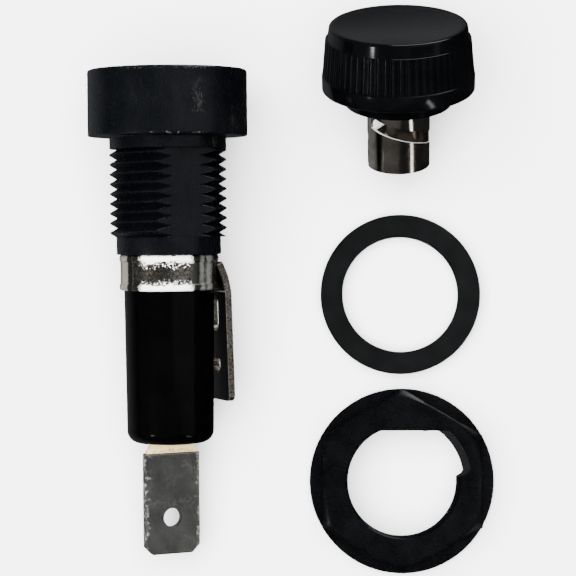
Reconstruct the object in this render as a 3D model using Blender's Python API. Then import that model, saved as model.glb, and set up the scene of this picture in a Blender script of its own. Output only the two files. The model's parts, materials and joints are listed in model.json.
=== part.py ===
"""Panel-mount cartridge fuse holder, laid out on a flat surface with its cap, gasket and nut taken off.

The holder body lies on the rim of its flange and one corner of its side terminal, the cap lies on
its rim and the end of its metal sleeve, and the gasket and the nut lie flat. The fuse enters through
the flange. Units are metres, +Z is up, and the set is centred over the origin on the surface z = 0.

Each sub-assembly is modelled upright in a frame of its own. In the holder's frame z = 0 is the
underside of the flange, +Z points to the flange and +X to the side terminal. In the cap's frame
z = 0 is the underside of the rim and +Z points to the top of the cap.
"""

import math

import bmesh
import bpy
from mathutils import Matrix, Vector

MM = 0.001
FULL_TURN = 2.0 * math.pi

# Gaps shared by the pieces that fit together
FIT = 0.05 * MM
SEAT = 0.03 * MM
MERGE = 0.0001 * MM

# Facets around the round pieces
FINE_STEPS = 36
PLAIN_STEPS = 32
SMALL_STEPS = 20

# Mounting thread, half an inch with 24 turns to the inch, and the flats on its two sides
THREAD_D = 12.7 * MM
THREAD_PITCH = 25.4 * MM / 24.0
THREAD_DEPTH = 0.78 * MM
THREAD_CREST = 0.14
THREAD_START = 0.45
THREAD_ACROSS_FLATS = 10.7 * MM
THREAD_L = 9.55 * MM

# Housing
FLANGE_D = 17.35 * MM
FLANGE_H = 7.2 * MM
FLANGE_TOP_EDGE = 0.45 * MM
FLANGE_UNDER_EDGE = 0.2 * MM
COLLAR_H = 1.35 * MM
NECK_D = 11.35 * MM
NECK_H = 1.9 * MM
MOUTH_CLEARANCE = 0.15 * MM

# Contact sleeve inside the housing, which the cap's metal sleeve slides into
SLEEVE_OD = 7.9 * MM
SLEEVE_WALL = 0.3 * MM
SLEEVE_BELOW_RING = 0.4 * MM
SLEEVE_FLANGE_D = 9.0 * MM
SLEEVE_FLANGE_T = 0.25 * MM
LUG_D = 0.9 * MM
LUG_DROP = 0.6 * MM
LUG_TURN = math.radians(-25.0)

# Blades that a quarter-inch push-on connector fits
BLADE_W = 6.35 * MM
BLADE_T = 0.8 * MM
BLADE_HOLE_D = 2.05 * MM
BLADE_HOLE_FROM_TIP = 4.0 * MM
BLADE_TIP_CHAMFER = 0.9 * MM

# Side terminal: a ring round the joint of housing and barrel, with an arm bent down to a blade
RING_D = 10.8 * MM
RING_WALL = 0.6 * MM
RING_H = 3.9 * MM
RING_BEAD = 0.12 * MM
ARM_TOP_R = 5.0 * MM
ARM_TOP_DROP = 0.75 * MM
ARM_BEND_R = 6.05 * MM
ARM_BEND_DROP = 4.1 * MM
SIDE_TIP_R = 6.4 * MM
SIDE_TIP_DROP = 16.05 * MM
SIDE_CORNER = 0.45 * MM
ARM_SLOT_W = 2.0 * MM
ARM_SLOT_L = 3.9 * MM
ARM_SLOT_DROP = 6.6 * MM

# Barrel
BARREL_TOP_D = 9.8 * MM
BARREL_END_D = 9.45 * MM
BARREL_L = 16.6 * MM
BARREL_CORNER = 1.3 * MM
BARREL_FLOOR = 1.0 * MM

# End terminal, a strip that passes through the barrel's floor and is folded over inside
NECK_STRIP_T = 0.5 * MM
NECK_STRIP_W = 4.2 * MM
TONGUE_L = 2.4 * MM
ROOT_TOP_W = 4.5 * MM
ROOT_END_W = 5.3 * MM
ROOT_H = 0.75 * MM
END_BLADE_L = 11.5 * MM

# Spring seat, spring and contact cup
SPRING_SEAT_T = 0.3 * MM
SPRING_WIRE_D = 0.5 * MM
SPRING_MEAN_D = 7.1 * MM
SPRING_TURNS = 7.0
SPRING_COIL_GAP = 0.04 * MM
SPRING_POINTS_PER_TURN = 12
CUP_D = 7.7 * MM
CUP_RECESS_D = 6.7 * MM
CUP_RECESS_H = 0.6 * MM
CUP_BASE_T = 0.6 * MM
CUP_PILOT_H = 0.6 * MM
CUP_TOP_FROM_FLANGE = 21.9 * MM

# Cap
CAP_TOP_D = 14.6 * MM
CAP_TOP_H = 1.2 * MM
CAP_TOP_EDGE = 0.3 * MM
CAP_RIM_D = 16.75 * MM
CAP_RIM_H = 1.8 * MM
CAP_RIM_EDGE = 0.2 * MM
RIB_H = 4.25 * MM
RIB_TOP_D = 15.85 * MM
RIB_END_D = 16.6 * MM
RIB_DEPTH = 0.2 * MM
RIB_COUNT = 60
BOSS_D = 11.75 * MM
BOSS_H = 1.7 * MM

# Metal sleeve in the cap and the rivet that holds it
FERRULE_OD = 6.9 * MM
FERRULE_WALL = 0.25 * MM
FERRULE_BELOW_RIM = 8.8 * MM
FERRULE_ABOVE_RIM = 1.2 * MM
CAM_SLOT_W = 1.35 * MM
CAM_START = 3.25 * MM
CAM_TURN = math.radians(27.0)
CAM_RISE = 2.5 * MM
CAM_BRIDGE = math.radians(18.0)
CAM_LEG = math.radians(18.0)
FERRULE_STEPS = 40
RIVET_SHANK_D = 1.6 * MM
RIVET_SHANK_L = 3.4 * MM
RIVET_HEAD_D = 3.2 * MM
RIVET_HEAD_H = 0.45 * MM

# Gasket
GASKET_OD = 17.8 * MM
GASKET_WALL = 2.45 * MM
GASKET_T = 1.6 * MM
GASKET_EDGE = 0.12 * MM

# Mounting nut
NUT_FLANGE_D = 20.45 * MM
NUT_FLANGE_H = 1.2 * MM
NUT_ACROSS_FLATS = 17.46 * MM
NUT_H = 4.6 * MM
NUT_CHAMFER = 0.4 * MM
NUT_THREAD_CLEARANCE = 0.07 * MM
NUT_THREAD_DEPTH = 0.36 * MM
NUT_HOLE_EDGE = 0.1 * MM
NUT_LEAD_IN = 0.35 * MM
NUT_FLAT = 5.55 * MM
NUT_NOTCH_END_R = 6.95 * MM
NUT_NOTCH_TOP_R = 7.85 * MM
NUT_NOTCH_FROM = math.radians(5.0)
NUT_NOTCH_TO = math.radians(65.0)

# How the set lies: places on the surface and turns about the upright and the pieces' own axes
HOLDER_X = -13.0 * MM
HOLDER_FLANGE_Y = 15.8 * MM
HOLDER_LEAN = math.radians(0.41)
HOLDER_ROLL = math.radians(25.0)
CAP_X = 12.16 * MM
CAP_TOP_Y = 27.7 * MM
CAP_LEAN = math.radians(1.35)
GASKET_X = 12.55 * MM
GASKET_Y = -0.9 * MM
NUT_X = 12.64 * MM
NUT_Y = -21.65 * MM

# Heights in the holder's frame that several pieces share
THREAD_TOP_Z = -COLLAR_H
THREAD_END_Z = THREAD_TOP_Z - THREAD_L
NECK_END_Z = THREAD_END_Z - NECK_H
RING_TOP_Z = NECK_END_Z - SEAT
RING_END_Z = RING_TOP_Z - RING_H + 2.0 * SEAT
BARREL_TOP_Z = RING_END_Z - SEAT
BARREL_END_Z = BARREL_TOP_Z - BARREL_L
FLOOR_Z = BARREL_END_Z + BARREL_FLOOR
SEAT_TOP_Z = FLOOR_Z + SEAT + SPRING_SEAT_T
MOUTH_FLOOR_Z = FLANGE_H - BOSS_H - MOUTH_CLEARANCE
SLEEVE_END_Z = RING_END_Z - SLEEVE_BELOW_RING
BORE_R = SLEEVE_OD / 2.0 + FIT
RING_INNER_R = RING_D / 2.0 - RING_WALL
SIDE_TIP_Z = RING_TOP_Z - SIDE_TIP_DROP
BLADE_TOP_Z = BARREL_END_Z - SEAT - ROOT_H
BLADE_END_Z = BLADE_TOP_Z - END_BLADE_L
CUP_TOP_Z = -CUP_TOP_FROM_FLANGE
CUP_UNDERSIDE_Z = CUP_TOP_Z - CUP_RECESS_H - CUP_BASE_T

# Heights in the cap's frame
RIB_TOP_Z = CAP_RIM_H + RIB_H
CAP_TOP_Z = RIB_TOP_Z + CAP_TOP_H


def finish(name, colour, roughness, metallic):
    """Make a material with a plain Principled shader."""
    material = bpy.data.materials.new(name)
    material.use_nodes = True
    shader = material.node_tree.nodes["Principled BSDF"]
    shader.inputs["Base Color"].default_value = (*colour, 1.0)
    shader.inputs["Roughness"].default_value = roughness
    shader.inputs["Metallic"].default_value = metallic
    return material


def clear_scene():
    """Remove every object of the open scene."""
    for item in list(bpy.data.objects):
        bpy.data.objects.remove(item, do_unlink=True)


def frame_at(name, parent=None):
    """Add an empty that other pieces are parented to."""
    empty = bpy.data.objects.new(name, None)
    empty.empty_display_size = 5.0 * MM
    empty.parent = parent
    bpy.context.collection.objects.link(empty)
    return empty


def add_object(name, data, parent, material=None):
    """Link a mesh or curve under its parent with its material."""
    item = bpy.data.objects.new(name, data)
    item.parent = parent
    if material is not None:
        data.materials.append(material)
    bpy.context.collection.objects.link(item)
    return item


def mesh_from(bm, name, sharp_angle=35.0):
    """Close the seams of a bmesh, face it outward and shade it smooth between sharp edges."""
    bmesh.ops.remove_doubles(bm, verts=bm.verts[:], dist=MERGE)
    bmesh.ops.recalc_face_normals(bm, faces=bm.faces[:])
    mesh = bpy.data.meshes.new(name)
    bm.to_mesh(mesh)
    bm.free()
    mesh.shade_smooth()
    mesh.set_sharp_from_angle(angle=math.radians(sharp_angle))
    return mesh


def arc(centre_r, centre_z, radius, start_deg, end_deg, pieces):
    """Points (r, z) of an arc, from its start angle to its end angle."""
    points = []
    for i in range(pieces + 1):
        angle = math.radians(start_deg + (end_deg - start_deg) * i / pieces)
        points.append((centre_r + radius * math.cos(angle), centre_z + radius * math.sin(angle)))
    return points


def turned(name, profile, steps, closed=True):
    """Spin a profile of (r, z) points about Z. An open profile starts and ends on the axis."""
    bm = bmesh.new()
    verts = [bm.verts.new((r, 0.0, z)) for r, z in profile]
    edges = [bm.edges.new(pair) for pair in zip(verts, verts[1:])]
    if closed:
        edges.append(bm.edges.new((verts[-1], verts[0])))
    bmesh.ops.spin(bm, geom=verts + edges, cent=(0, 0, 0), axis=(0, 0, 1), angle=FULL_TURN, steps=steps,
                   use_merge=True)
    return mesh_from(bm, name)


def turned_by_rule(name, rows, steps):
    """Close a skin over rows that each give (r, z) at an angle, the last row joined to the first."""
    bm = bmesh.new()
    grid = []
    for i in range(steps + 1):
        theta = FULL_TURN * i / steps
        column = []
        for row in rows:
            r, z = row(theta)
            column.append(bm.verts.new((r * math.cos(theta), r * math.sin(theta), z)))
        grid.append(column)
    for left, right in zip(grid, grid[1:]):
        for j in range(len(rows)):
            k = (j + 1) % len(rows)
            bm.faces.new((left[j], right[j], right[k], left[k]))
    return mesh_from(bm, name)


def still(r, z):
    """A row that has the same radius and height all round."""
    return lambda theta: (r, z)


def thread_rows(radius_at, top_z, length, start=0.0):
    """Rows that follow a right-hand thread down from top_z and stop flat at both ends.

    radius_at takes the angle and the phase, which is 0 at the root and 0.5 at the crest. start is the
    share of a turn by which the thread is ahead, from 0 to 1.
    """
    marks = (0.0, 0.5 - THREAD_CREST / 2.0, 0.5 + THREAD_CREST / 2.0)
    turns = math.ceil(length / THREAD_PITCH + start) + 1

    def row_at(position):
        def row(theta):
            lift = THREAD_PITCH * (theta / FULL_TURN + start)
            free_z = top_z + lift - THREAD_PITCH * position
            z = min(top_z, max(top_z - length, free_z))
            phase = ((top_z + lift - z) / THREAD_PITCH) % 1.0
            return radius_at(theta, phase), z
        return row

    return [row_at(turn + mark) for turn in range(turns + 1) for mark in marks]


def flank(phase):
    """Height of the thread form at a phase, 0 at the root and 1 on the crest."""
    from_crest = max(0.0, abs(phase - 0.5) - THREAD_CREST / 2.0)
    return 1.0 - from_crest / (0.5 - THREAD_CREST / 2.0)


def prism(name, outline, thickness, plane):
    """Extrude an outline by a thickness, centred on its plane. The plane is 'XZ' or 'YZ'."""
    bm = bmesh.new()
    half = thickness / 2.0
    if plane == "XZ":
        points = [Vector((a, -half, b)) for a, b in outline]
        step = Vector((0.0, thickness, 0.0))
    else:
        points = [Vector((-half, a, b)) for a, b in outline]
        step = Vector((thickness, 0.0, 0.0))
    face = bm.faces.new([bm.verts.new(p) for p in points])
    grown = bmesh.ops.extrude_face_region(bm, geom=[face])
    moved = [g for g in grown["geom"] if isinstance(g, bmesh.types.BMVert)]
    bmesh.ops.translate(bm, verts=moved, vec=step)
    return mesh_from(bm, name)


def rod(name, diameter, length, steps=SMALL_STEPS):
    """A cylinder along Z, centred on its own origin."""
    bm = bmesh.new()
    bmesh.ops.create_cone(bm, cap_ends=True, segments=steps, radius1=diameter / 2.0, radius2=diameter / 2.0,
                          depth=length)
    return mesh_from(bm, name)


def tool_for(target, mesh, operation, location=(0, 0, 0), rotation=(0, 0, 0)):
    """Add a hidden shape and let a Boolean cut it from the target or join it on."""
    tool = add_object(mesh.name, mesh, target.parent)
    tool.location = location
    tool.rotation_euler = rotation
    tool.hide_render = True
    tool.display_type = "WIRE"
    boolean = target.modifiers.new(mesh.name, "BOOLEAN")
    boolean.operation = operation
    boolean.solver = "EXACT"
    boolean.object = tool
    return tool


def housing(parent, material):
    """Flange, plain collar, thread with two flats, and neck, bored through for the contact sleeve."""
    mouth_r = BOSS_D / 2.0 + MOUTH_CLEARANCE
    flange_r = FLANGE_D / 2.0
    recess_r = SLEEVE_FLANGE_D / 2.0 + FIT
    recess_z = MOUTH_FLOOR_Z - SLEEVE_FLANGE_T - SEAT
    crest_r = THREAD_D / 2.0
    flat_r = THREAD_ACROSS_FLATS / 2.0

    def radius_at(theta, phase):
        thread_r = crest_r - THREAD_DEPTH * (1.0 - flank(phase))
        return min(thread_r, flat_r / max(abs(math.sin(theta)), MERGE))

    top_edge = arc(flange_r - FLANGE_TOP_EDGE, FLANGE_H - FLANGE_TOP_EDGE, FLANGE_TOP_EDGE, 90, 0, 3)
    under_edge = arc(flange_r - FLANGE_UNDER_EDGE, FLANGE_UNDER_EDGE, FLANGE_UNDER_EDGE, 0, -90, 2)
    rows = [still(mouth_r, FLANGE_H)]
    rows += [still(r, z) for r, z in top_edge + under_edge]
    rows += [still(crest_r, 0.0), still(crest_r, THREAD_TOP_Z)]
    rows += thread_rows(radius_at, THREAD_TOP_Z, THREAD_L, THREAD_START)
    rows += [still(NECK_D / 2.0, THREAD_END_Z), still(NECK_D / 2.0, NECK_END_Z)]
    rows += [still(BORE_R, NECK_END_Z), still(BORE_R, recess_z)]
    rows += [still(recess_r, recess_z), still(recess_r, MOUTH_FLOOR_Z), still(mouth_r, MOUTH_FLOOR_Z)]
    return add_object("housing", turned_by_rule("housing", rows, FINE_STEPS), parent, material)


def contact_sleeve(parent, material):
    """Thin tube with a top flange and two inward lugs that ride in the cap's cam slots."""
    outer_r = SLEEVE_OD / 2.0
    inner_r = outer_r - SLEEVE_WALL
    flange_r = SLEEVE_FLANGE_D / 2.0
    under_z = MOUTH_FLOOR_Z - SLEEVE_FLANGE_T
    profile = [(inner_r, MOUTH_FLOOR_Z), (flange_r, MOUTH_FLOOR_Z), (flange_r, under_z), (outer_r, under_z),
               (outer_r, SLEEVE_END_Z), (inner_r, SLEEVE_END_Z)]
    sleeve = add_object("contact_sleeve", turned("contact_sleeve", profile, PLAIN_STEPS), parent, material)
    lug_tip_r = FERRULE_OD / 2.0 - FERRULE_WALL
    lug_root_r = outer_r - SLEEVE_WALL / 2.0
    lug_z = MOUTH_FLOOR_Z - LUG_DROP - LUG_D / 2.0
    for i in range(2):
        turn = LUG_TURN + i * math.pi
        reach = (lug_tip_r + lug_root_r) / 2.0
        place = (reach * math.cos(turn), reach * math.sin(turn), lug_z)
        peg = rod(f"sleeve_lug_{i}", LUG_D, lug_root_r - lug_tip_r)
        tool_for(sleeve, peg, "UNION", place, (0.0, math.pi / 2.0, turn))
    return sleeve


def ring_profile():
    """Section of the ring: an inward lip on top and a thin bead along both outer edges."""
    outer_r = RING_D / 2.0
    lip_r = SLEEVE_OD / 2.0 + FIT
    lip_z = RING_TOP_Z - RING_WALL
    waist_r = outer_r - RING_BEAD
    bead_h = 3.0 * RING_BEAD
    return [(lip_r, RING_TOP_Z), (waist_r, RING_TOP_Z), (outer_r, RING_TOP_Z - RING_BEAD),
            (outer_r, RING_TOP_Z - bead_h), (waist_r, RING_TOP_Z - 2.0 * bead_h),
            (waist_r, RING_END_Z + 2.0 * bead_h), (outer_r, RING_END_Z + bead_h),
            (outer_r, RING_END_Z + RING_BEAD), (waist_r, RING_END_Z), (RING_INNER_R, RING_END_Z),
            (RING_INNER_R, lip_z), (lip_r, lip_z)]


def arm_outline():
    """Side view (radius, z) of the arm and its blade, one strip bent twice."""
    top_z = RING_TOP_Z - ARM_TOP_DROP
    bend_z = RING_TOP_Z - ARM_BEND_DROP
    tip_z = SIDE_TIP_Z
    outer = [(ARM_TOP_R, top_z), ((ARM_TOP_R + 2.0 * ARM_BEND_R) / 3.0, (top_z + bend_z) / 2.0),
             (ARM_BEND_R, bend_z), (SIDE_TIP_R, tip_z)]
    return outer + [(r - BLADE_T, z) for r, z in reversed(outer)]


def side_terminal(parent, material):
    """Ring, arm and blade of one folded sheet, with a slot in the arm and a hole in the blade."""
    terminal = add_object("side_terminal", turned("side_terminal", ring_profile(), FINE_STEPS), parent,
                          material)
    arm = prism("side_arm", arm_outline(), BLADE_W, "XZ")
    arm_tool = tool_for(terminal, arm, "UNION")
    mid_wall_r = RING_D / 2.0 - RING_WALL / 2.0
    core_top = NECK_END_Z + RING_WALL
    core_end = RING_TOP_Z - ARM_BEND_DROP
    core = rod("side_arm_core", 2.0 * mid_wall_r, core_top - core_end, FINE_STEPS)
    tool_for(arm_tool, core, "DIFFERENCE", (0.0, 0.0, (core_top + core_end) / 2.0))
    slot_z = RING_TOP_Z - ARM_SLOT_DROP
    reach = 4.0 * BLADE_T
    slot = prism("side_slot", slot_outline(slot_z), reach, "YZ")
    tool_for(terminal, slot, "DIFFERENCE", (SIDE_TIP_R, 0.0, 0.0))
    hole = rod("side_hole", BLADE_HOLE_D, reach)
    hole_z = SIDE_TIP_Z + BLADE_HOLE_FROM_TIP
    tool_for(terminal, hole, "DIFFERENCE", (SIDE_TIP_R, 0.0, hole_z), (0.0, math.pi / 2.0, 0.0))
    for side in (-1.0, 1.0):
        name = "side_corner_left" if side < 0 else "side_corner_right"
        corner = prism(name, corner_outline(side), reach, "YZ")
        tool_for(terminal, corner, "DIFFERENCE", (SIDE_TIP_R, 0.0, 0.0))
    return terminal


def slot_outline(centre_z):
    """Outline (y, z) of the arm's slot with round ends."""
    radius = ARM_SLOT_W / 2.0
    half = ARM_SLOT_L / 2.0 - radius
    top = arc(0.0, centre_z + half, radius, 0, 180, 6)
    end = arc(0.0, centre_z - half, radius, 180, 360, 6)
    return top + end


def corner_outline(side):
    """Outline (y, z) of the triangle that is cut off one corner of the side blade's tip."""
    edge = side * BLADE_W / 2.0
    spare = side * BLADE_T
    return [(edge - side * SIDE_CORNER - spare, SIDE_TIP_Z - BLADE_T), (edge + spare, SIDE_TIP_Z - BLADE_T),
            (edge + spare, SIDE_TIP_Z + SIDE_CORNER + BLADE_T)]


def barrel(parent, material):
    """Slightly tapered tube with a spigot inside the ring and a slotted floor."""
    top_r = BARREL_TOP_D / 2.0
    end_r = BARREL_END_D / 2.0
    spigot_r = RING_INNER_R - FIT
    spigot_z = RING_TOP_Z - RING_WALL - SEAT
    corner = arc(end_r - BARREL_CORNER, BARREL_END_Z + BARREL_CORNER, BARREL_CORNER, 0, -90, 5)
    profile = [(0.0, FLOOR_Z), (BORE_R, FLOOR_Z), (BORE_R, spigot_z), (spigot_r, spigot_z),
               (spigot_r, BARREL_TOP_Z), (top_r, BARREL_TOP_Z)]
    profile += corner + [(0.0, BARREL_END_Z)]
    item = add_object("barrel", turned("barrel", profile, FINE_STEPS, closed=False), parent, material)
    tool_for(item, strip_slot("barrel_slot", BARREL_FLOOR), "DIFFERENCE", (0.0, 0.0, FLOOR_Z))
    return item


def strip_slot(name, depth):
    """Cutter for the slot that the end terminal's strip passes through, longer than the depth both ways."""
    half_w = NECK_STRIP_W / 2.0 + FIT
    outline = [(-half_w, -2.0 * depth), (half_w, -2.0 * depth), (half_w, 2.0 * depth), (-half_w, 2.0 * depth)]
    return prism(name, outline, NECK_STRIP_T + 2.0 * FIT, "XZ")


def spring_seat(parent, material):
    """Disc on the barrel's floor that the spring stands on."""
    radius = BORE_R - FIT
    profile = [(0.0, SEAT_TOP_Z), (radius, SEAT_TOP_Z), (radius, FLOOR_Z + SEAT), (0.0, FLOOR_Z + SEAT)]
    seat = add_object("spring_seat", turned("spring_seat", profile, PLAIN_STEPS, closed=False), parent, material)
    tool_for(seat, strip_slot("seat_slot", SPRING_SEAT_T), "DIFFERENCE", (0.0, 0.0, SEAT_TOP_Z))
    return seat


def end_terminal(parent, material):
    """Blade below the barrel, whose strip goes up through the floor and is folded over the seat."""
    half = BLADE_W / 2.0
    root_top = BARREL_END_Z - SEAT
    tip = BLADE_END_Z
    chamfer = BLADE_TIP_CHAMFER
    right = [(ROOT_TOP_W / 2.0, root_top), (ROOT_END_W / 2.0, BLADE_TOP_Z), (half, BLADE_TOP_Z),
             (half, tip + chamfer), (half - chamfer, tip)]
    outline = right + [(-x, z) for x, z in reversed(right)]
    blade = prism("end_terminal", outline, BLADE_T, "XZ")
    terminal = add_object("end_terminal", blade, parent, material)
    strip = prism("end_strip", strip_outline(), NECK_STRIP_W, "YZ")
    tool_for(terminal, strip, "UNION")
    hole = rod("end_hole", BLADE_HOLE_D, 4.0 * BLADE_T)
    hole_z = BLADE_END_Z + BLADE_HOLE_FROM_TIP
    tool_for(terminal, hole, "DIFFERENCE", (0.0, 0.0, hole_z), (math.pi / 2.0, 0.0, 0.0))
    return terminal


def strip_outline():
    """Side view (y, z) of the strip through the floor with its tongue folded over."""
    half = NECK_STRIP_T / 2.0
    under_z = SEAT_TOP_Z + SEAT
    top_z = under_z + NECK_STRIP_T
    bottom_z = BARREL_END_Z - SEAT - ROOT_H / 2.0
    bend = arc(half - NECK_STRIP_T, under_z, NECK_STRIP_T, 90, 180, 3)
    outer_bend = [(y + NECK_STRIP_T, z) for y, z in bend]
    return [(half, bottom_z), (half, under_z), (TONGUE_L, under_z), (TONGUE_L, top_z)] + outer_bend + [
        (-half, bottom_z)]


def spring_points():
    """Centre line of the spring from the seat up to the cup, with a closed turn at each end."""
    wire = SPRING_WIRE_D
    start_z = SEAT_TOP_Z + SEAT + wire / 2.0
    end_z = CUP_UNDERSIDE_Z - SEAT - wire / 2.0
    closed_rise = wire + SPRING_COIL_GAP
    open_rise = (end_z - start_z - 2.0 * closed_rise) / (SPRING_TURNS - 2.0)
    count = round(SPRING_TURNS * SPRING_POINTS_PER_TURN)
    points = []
    for i in range(count + 1):
        turn = SPRING_TURNS * i / count
        opened = min(max(turn - 1.0, 0.0), SPRING_TURNS - 2.0)
        z = start_z + closed_rise * (turn - opened) + open_rise * opened
        angle = FULL_TURN * turn
        points.append((SPRING_MEAN_D / 2.0 * math.cos(angle), SPRING_MEAN_D / 2.0 * math.sin(angle), z))
    return points


def contact_spring(parent, material):
    """Compression spring of round wire."""
    curve = bpy.data.curves.new("contact_spring", "CURVE")
    curve.dimensions = "3D"
    curve.bevel_depth = SPRING_WIRE_D / 2.0
    curve.bevel_resolution = 1
    curve.use_fill_caps = True
    points = spring_points()
    spline = curve.splines.new("POLY")
    spline.points.add(len(points) - 1)
    for target, point in zip(spline.points, points):
        target.co = (*point, 1.0)
    return add_object("contact_spring", curve, parent, material)


def contact_cup(parent, material):
    """Dished contact that the spring pushes against the end of the fuse. It slides along the barrel."""
    cup_r = CUP_D / 2.0
    recess_r = CUP_RECESS_D / 2.0
    floor_z = CUP_TOP_Z - CUP_RECESS_H
    pilot_r = (SPRING_MEAN_D - SPRING_WIRE_D) / 2.0 - 2.0 * FIT
    profile = [(0.0, floor_z), (recess_r, floor_z), (recess_r, CUP_TOP_Z), (cup_r, CUP_TOP_Z),
               (cup_r, CUP_UNDERSIDE_Z), (pilot_r, CUP_UNDERSIDE_Z), (pilot_r, CUP_UNDERSIDE_Z - CUP_PILOT_H),
               (0.0, CUP_UNDERSIDE_Z - CUP_PILOT_H)]
    return add_object("contact_cup", turned("contact_cup", profile, PLAIN_STEPS, closed=False), parent, material)


def loop_at(bm, radius, z, count, depth=0.0):
    """Add a loop of vertices. With a depth, every other vertex lies that much further in."""
    if radius == 0.0:
        return [bm.verts.new((0.0, 0.0, z))]
    verts = []
    for i in range(count):
        theta = FULL_TURN * i / count
        r = radius - depth * (i % 2)
        verts.append(bm.verts.new((r * math.cos(theta), r * math.sin(theta), z)))
    return verts


def stitch(bm, first, second):
    """Join two loops that start at the same angle. Their counts may differ, and one may be a point."""
    n, m = len(first), len(second)
    i = j = 0
    if n == m:
        for i in range(n):
            k = (i + 1) % n
            bm.faces.new((first[i], first[k], second[k], second[i]))
        return
    steps_first = n if n > 1 else 0
    steps_second = m if m > 1 else 0
    while i < steps_first or j < steps_second:
        if j >= steps_second or (i < steps_first and (i + 1) * m <= (j + 1) * n):
            bm.faces.new((first[i], first[(i + 1) % n], second[j % m]))
            i += 1
        else:
            bm.faces.new((first[i % n], second[(j + 1) % m], second[j]))
            j += 1


def cap(parent, material):
    """Round cap with a ribbed skirt, a boss that fits the holder's mouth, and a bore for its sleeve."""
    rim_r = CAP_RIM_D / 2.0
    top_r = CAP_TOP_D / 2.0
    bore_r = FERRULE_OD / 2.0 + FIT
    shank_r = RIVET_SHANK_D / 2.0 + FIT
    shank_top = FERRULE_ABOVE_RIM + RIVET_SHANK_L + FIT
    below = [(0.0, shank_top), (shank_r, shank_top), (shank_r, FERRULE_ABOVE_RIM + SEAT),
             (bore_r, FERRULE_ABOVE_RIM + SEAT), (bore_r, -BOSS_H), (BOSS_D / 2.0, -BOSS_H),
             (BOSS_D / 2.0, 0.0)]
    below += arc(rim_r - CAP_RIM_EDGE, CAP_RIM_EDGE, CAP_RIM_EDGE, -90, 0, 2) + [(rim_r, CAP_RIM_H)]
    above = [(top_r, RIB_TOP_Z)]
    above += arc(top_r - CAP_TOP_EDGE, CAP_TOP_Z - CAP_TOP_EDGE, CAP_TOP_EDGE, 0, 90, 3) + [(0.0, CAP_TOP_Z)]
    bm = bmesh.new()
    loops = [loop_at(bm, r, z, FINE_STEPS) for r, z in below]
    loops.append(loop_at(bm, RIB_END_D / 2.0, CAP_RIM_H, 2 * RIB_COUNT, RIB_DEPTH))
    loops.append(loop_at(bm, RIB_TOP_D / 2.0, RIB_TOP_Z, 2 * RIB_COUNT, RIB_DEPTH))
    loops += [loop_at(bm, r, z, FINE_STEPS) for r, z in above]
    for first, second in zip(loops, loops[1:]):
        stitch(bm, first, second)
    return add_object("cap", mesh_from(bm, "cap"), parent, material)


def cam_slot_edges(theta):
    """Top and bottom heights of the cam slot at an angle."""
    half_turn = theta % math.pi
    share = min(half_turn / (math.pi - CAM_BRIDGE), 1.0)
    centre = -CAM_START - CAM_RISE * share
    return centre + CAM_SLOT_W / 2.0, centre - CAM_SLOT_W / 2.0


def cap_sleeve(parent, material):
    """Thin drawn tube with a closed top and two cam slots, each with a leg that opens at its end."""
    radius = FERRULE_OD / 2.0
    hole_r = RIVET_SHANK_D / 2.0 + FIT
    step = FULL_TURN / FERRULE_STEPS
    bm = bmesh.new()
    columns = []
    for i in range(FERRULE_STEPS):
        theta = i * step
        upper, lower = cam_slot_edges(theta)
        spots = [(hole_r, FERRULE_ABOVE_RIM), (radius, FERRULE_ABOVE_RIM), (radius, upper), (radius, lower),
                 (radius, -FERRULE_BELOW_RIM)]
        turned = theta + CAM_TURN
        columns.append([bm.verts.new((r * math.cos(turned), r * math.sin(turned), z)) for r, z in spots])
    for i in range(FERRULE_STEPS):
        middle = ((i + 0.5) * step) % math.pi
        in_slot = middle < math.pi - CAM_BRIDGE
        in_leg = in_slot and middle > math.pi - CAM_BRIDGE - CAM_LEG
        left, right = columns[i], columns[(i + 1) % FERRULE_STEPS]
        for row in range(4):
            if (row == 2 and in_slot) or (row == 3 and in_leg):
                continue
            bm.faces.new((left[row + 1], right[row + 1], right[row], left[row]))
    mesh = bpy.data.meshes.new("cap_sleeve")
    bmesh.ops.recalc_face_normals(bm, faces=bm.faces[:])
    bm.to_mesh(mesh)
    bm.free()
    mesh.shade_smooth()
    mesh.set_sharp_from_angle(angle=math.radians(35.0))
    sleeve = add_object("cap_sleeve", mesh, parent, material)
    wall = sleeve.modifiers.new("wall", "SOLIDIFY")
    wall.thickness = FERRULE_WALL
    wall.offset = -1.0
    wall.use_even_offset = True
    return sleeve


def cap_rivet(parent, material):
    """Rivet that holds the sleeve's top against the cap."""
    shank_r = RIVET_SHANK_D / 2.0
    under_z = FERRULE_ABOVE_RIM - FERRULE_WALL - SEAT
    profile = [(0.0, FERRULE_ABOVE_RIM + RIVET_SHANK_L), (shank_r, FERRULE_ABOVE_RIM + RIVET_SHANK_L),
               (shank_r, under_z), (RIVET_HEAD_D / 2.0, under_z),
               (RIVET_HEAD_D / 2.0, under_z - RIVET_HEAD_H / 2.0),
               (RIVET_HEAD_D / 3.0, under_z - RIVET_HEAD_H), (0.0, under_z - RIVET_HEAD_H)]
    return add_object("cap_rivet", turned("cap_rivet", profile, SMALL_STEPS, closed=False), parent, material)


def gasket(parent, material):
    """Flat rubber ring that goes between the flange and the panel."""
    outer_r = GASKET_OD / 2.0
    inner_r = outer_r - GASKET_WALL
    edge = GASKET_EDGE
    profile = [(inner_r + edge, 0.0), (outer_r - edge, 0.0), (outer_r, edge), (outer_r, GASKET_T - edge),
               (outer_r - edge, GASKET_T), (inner_r + edge, GASKET_T), (inner_r, GASKET_T - edge),
               (inner_r, edge)]
    return add_object("gasket", turned("gasket", profile, FINE_STEPS), parent, material)


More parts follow.
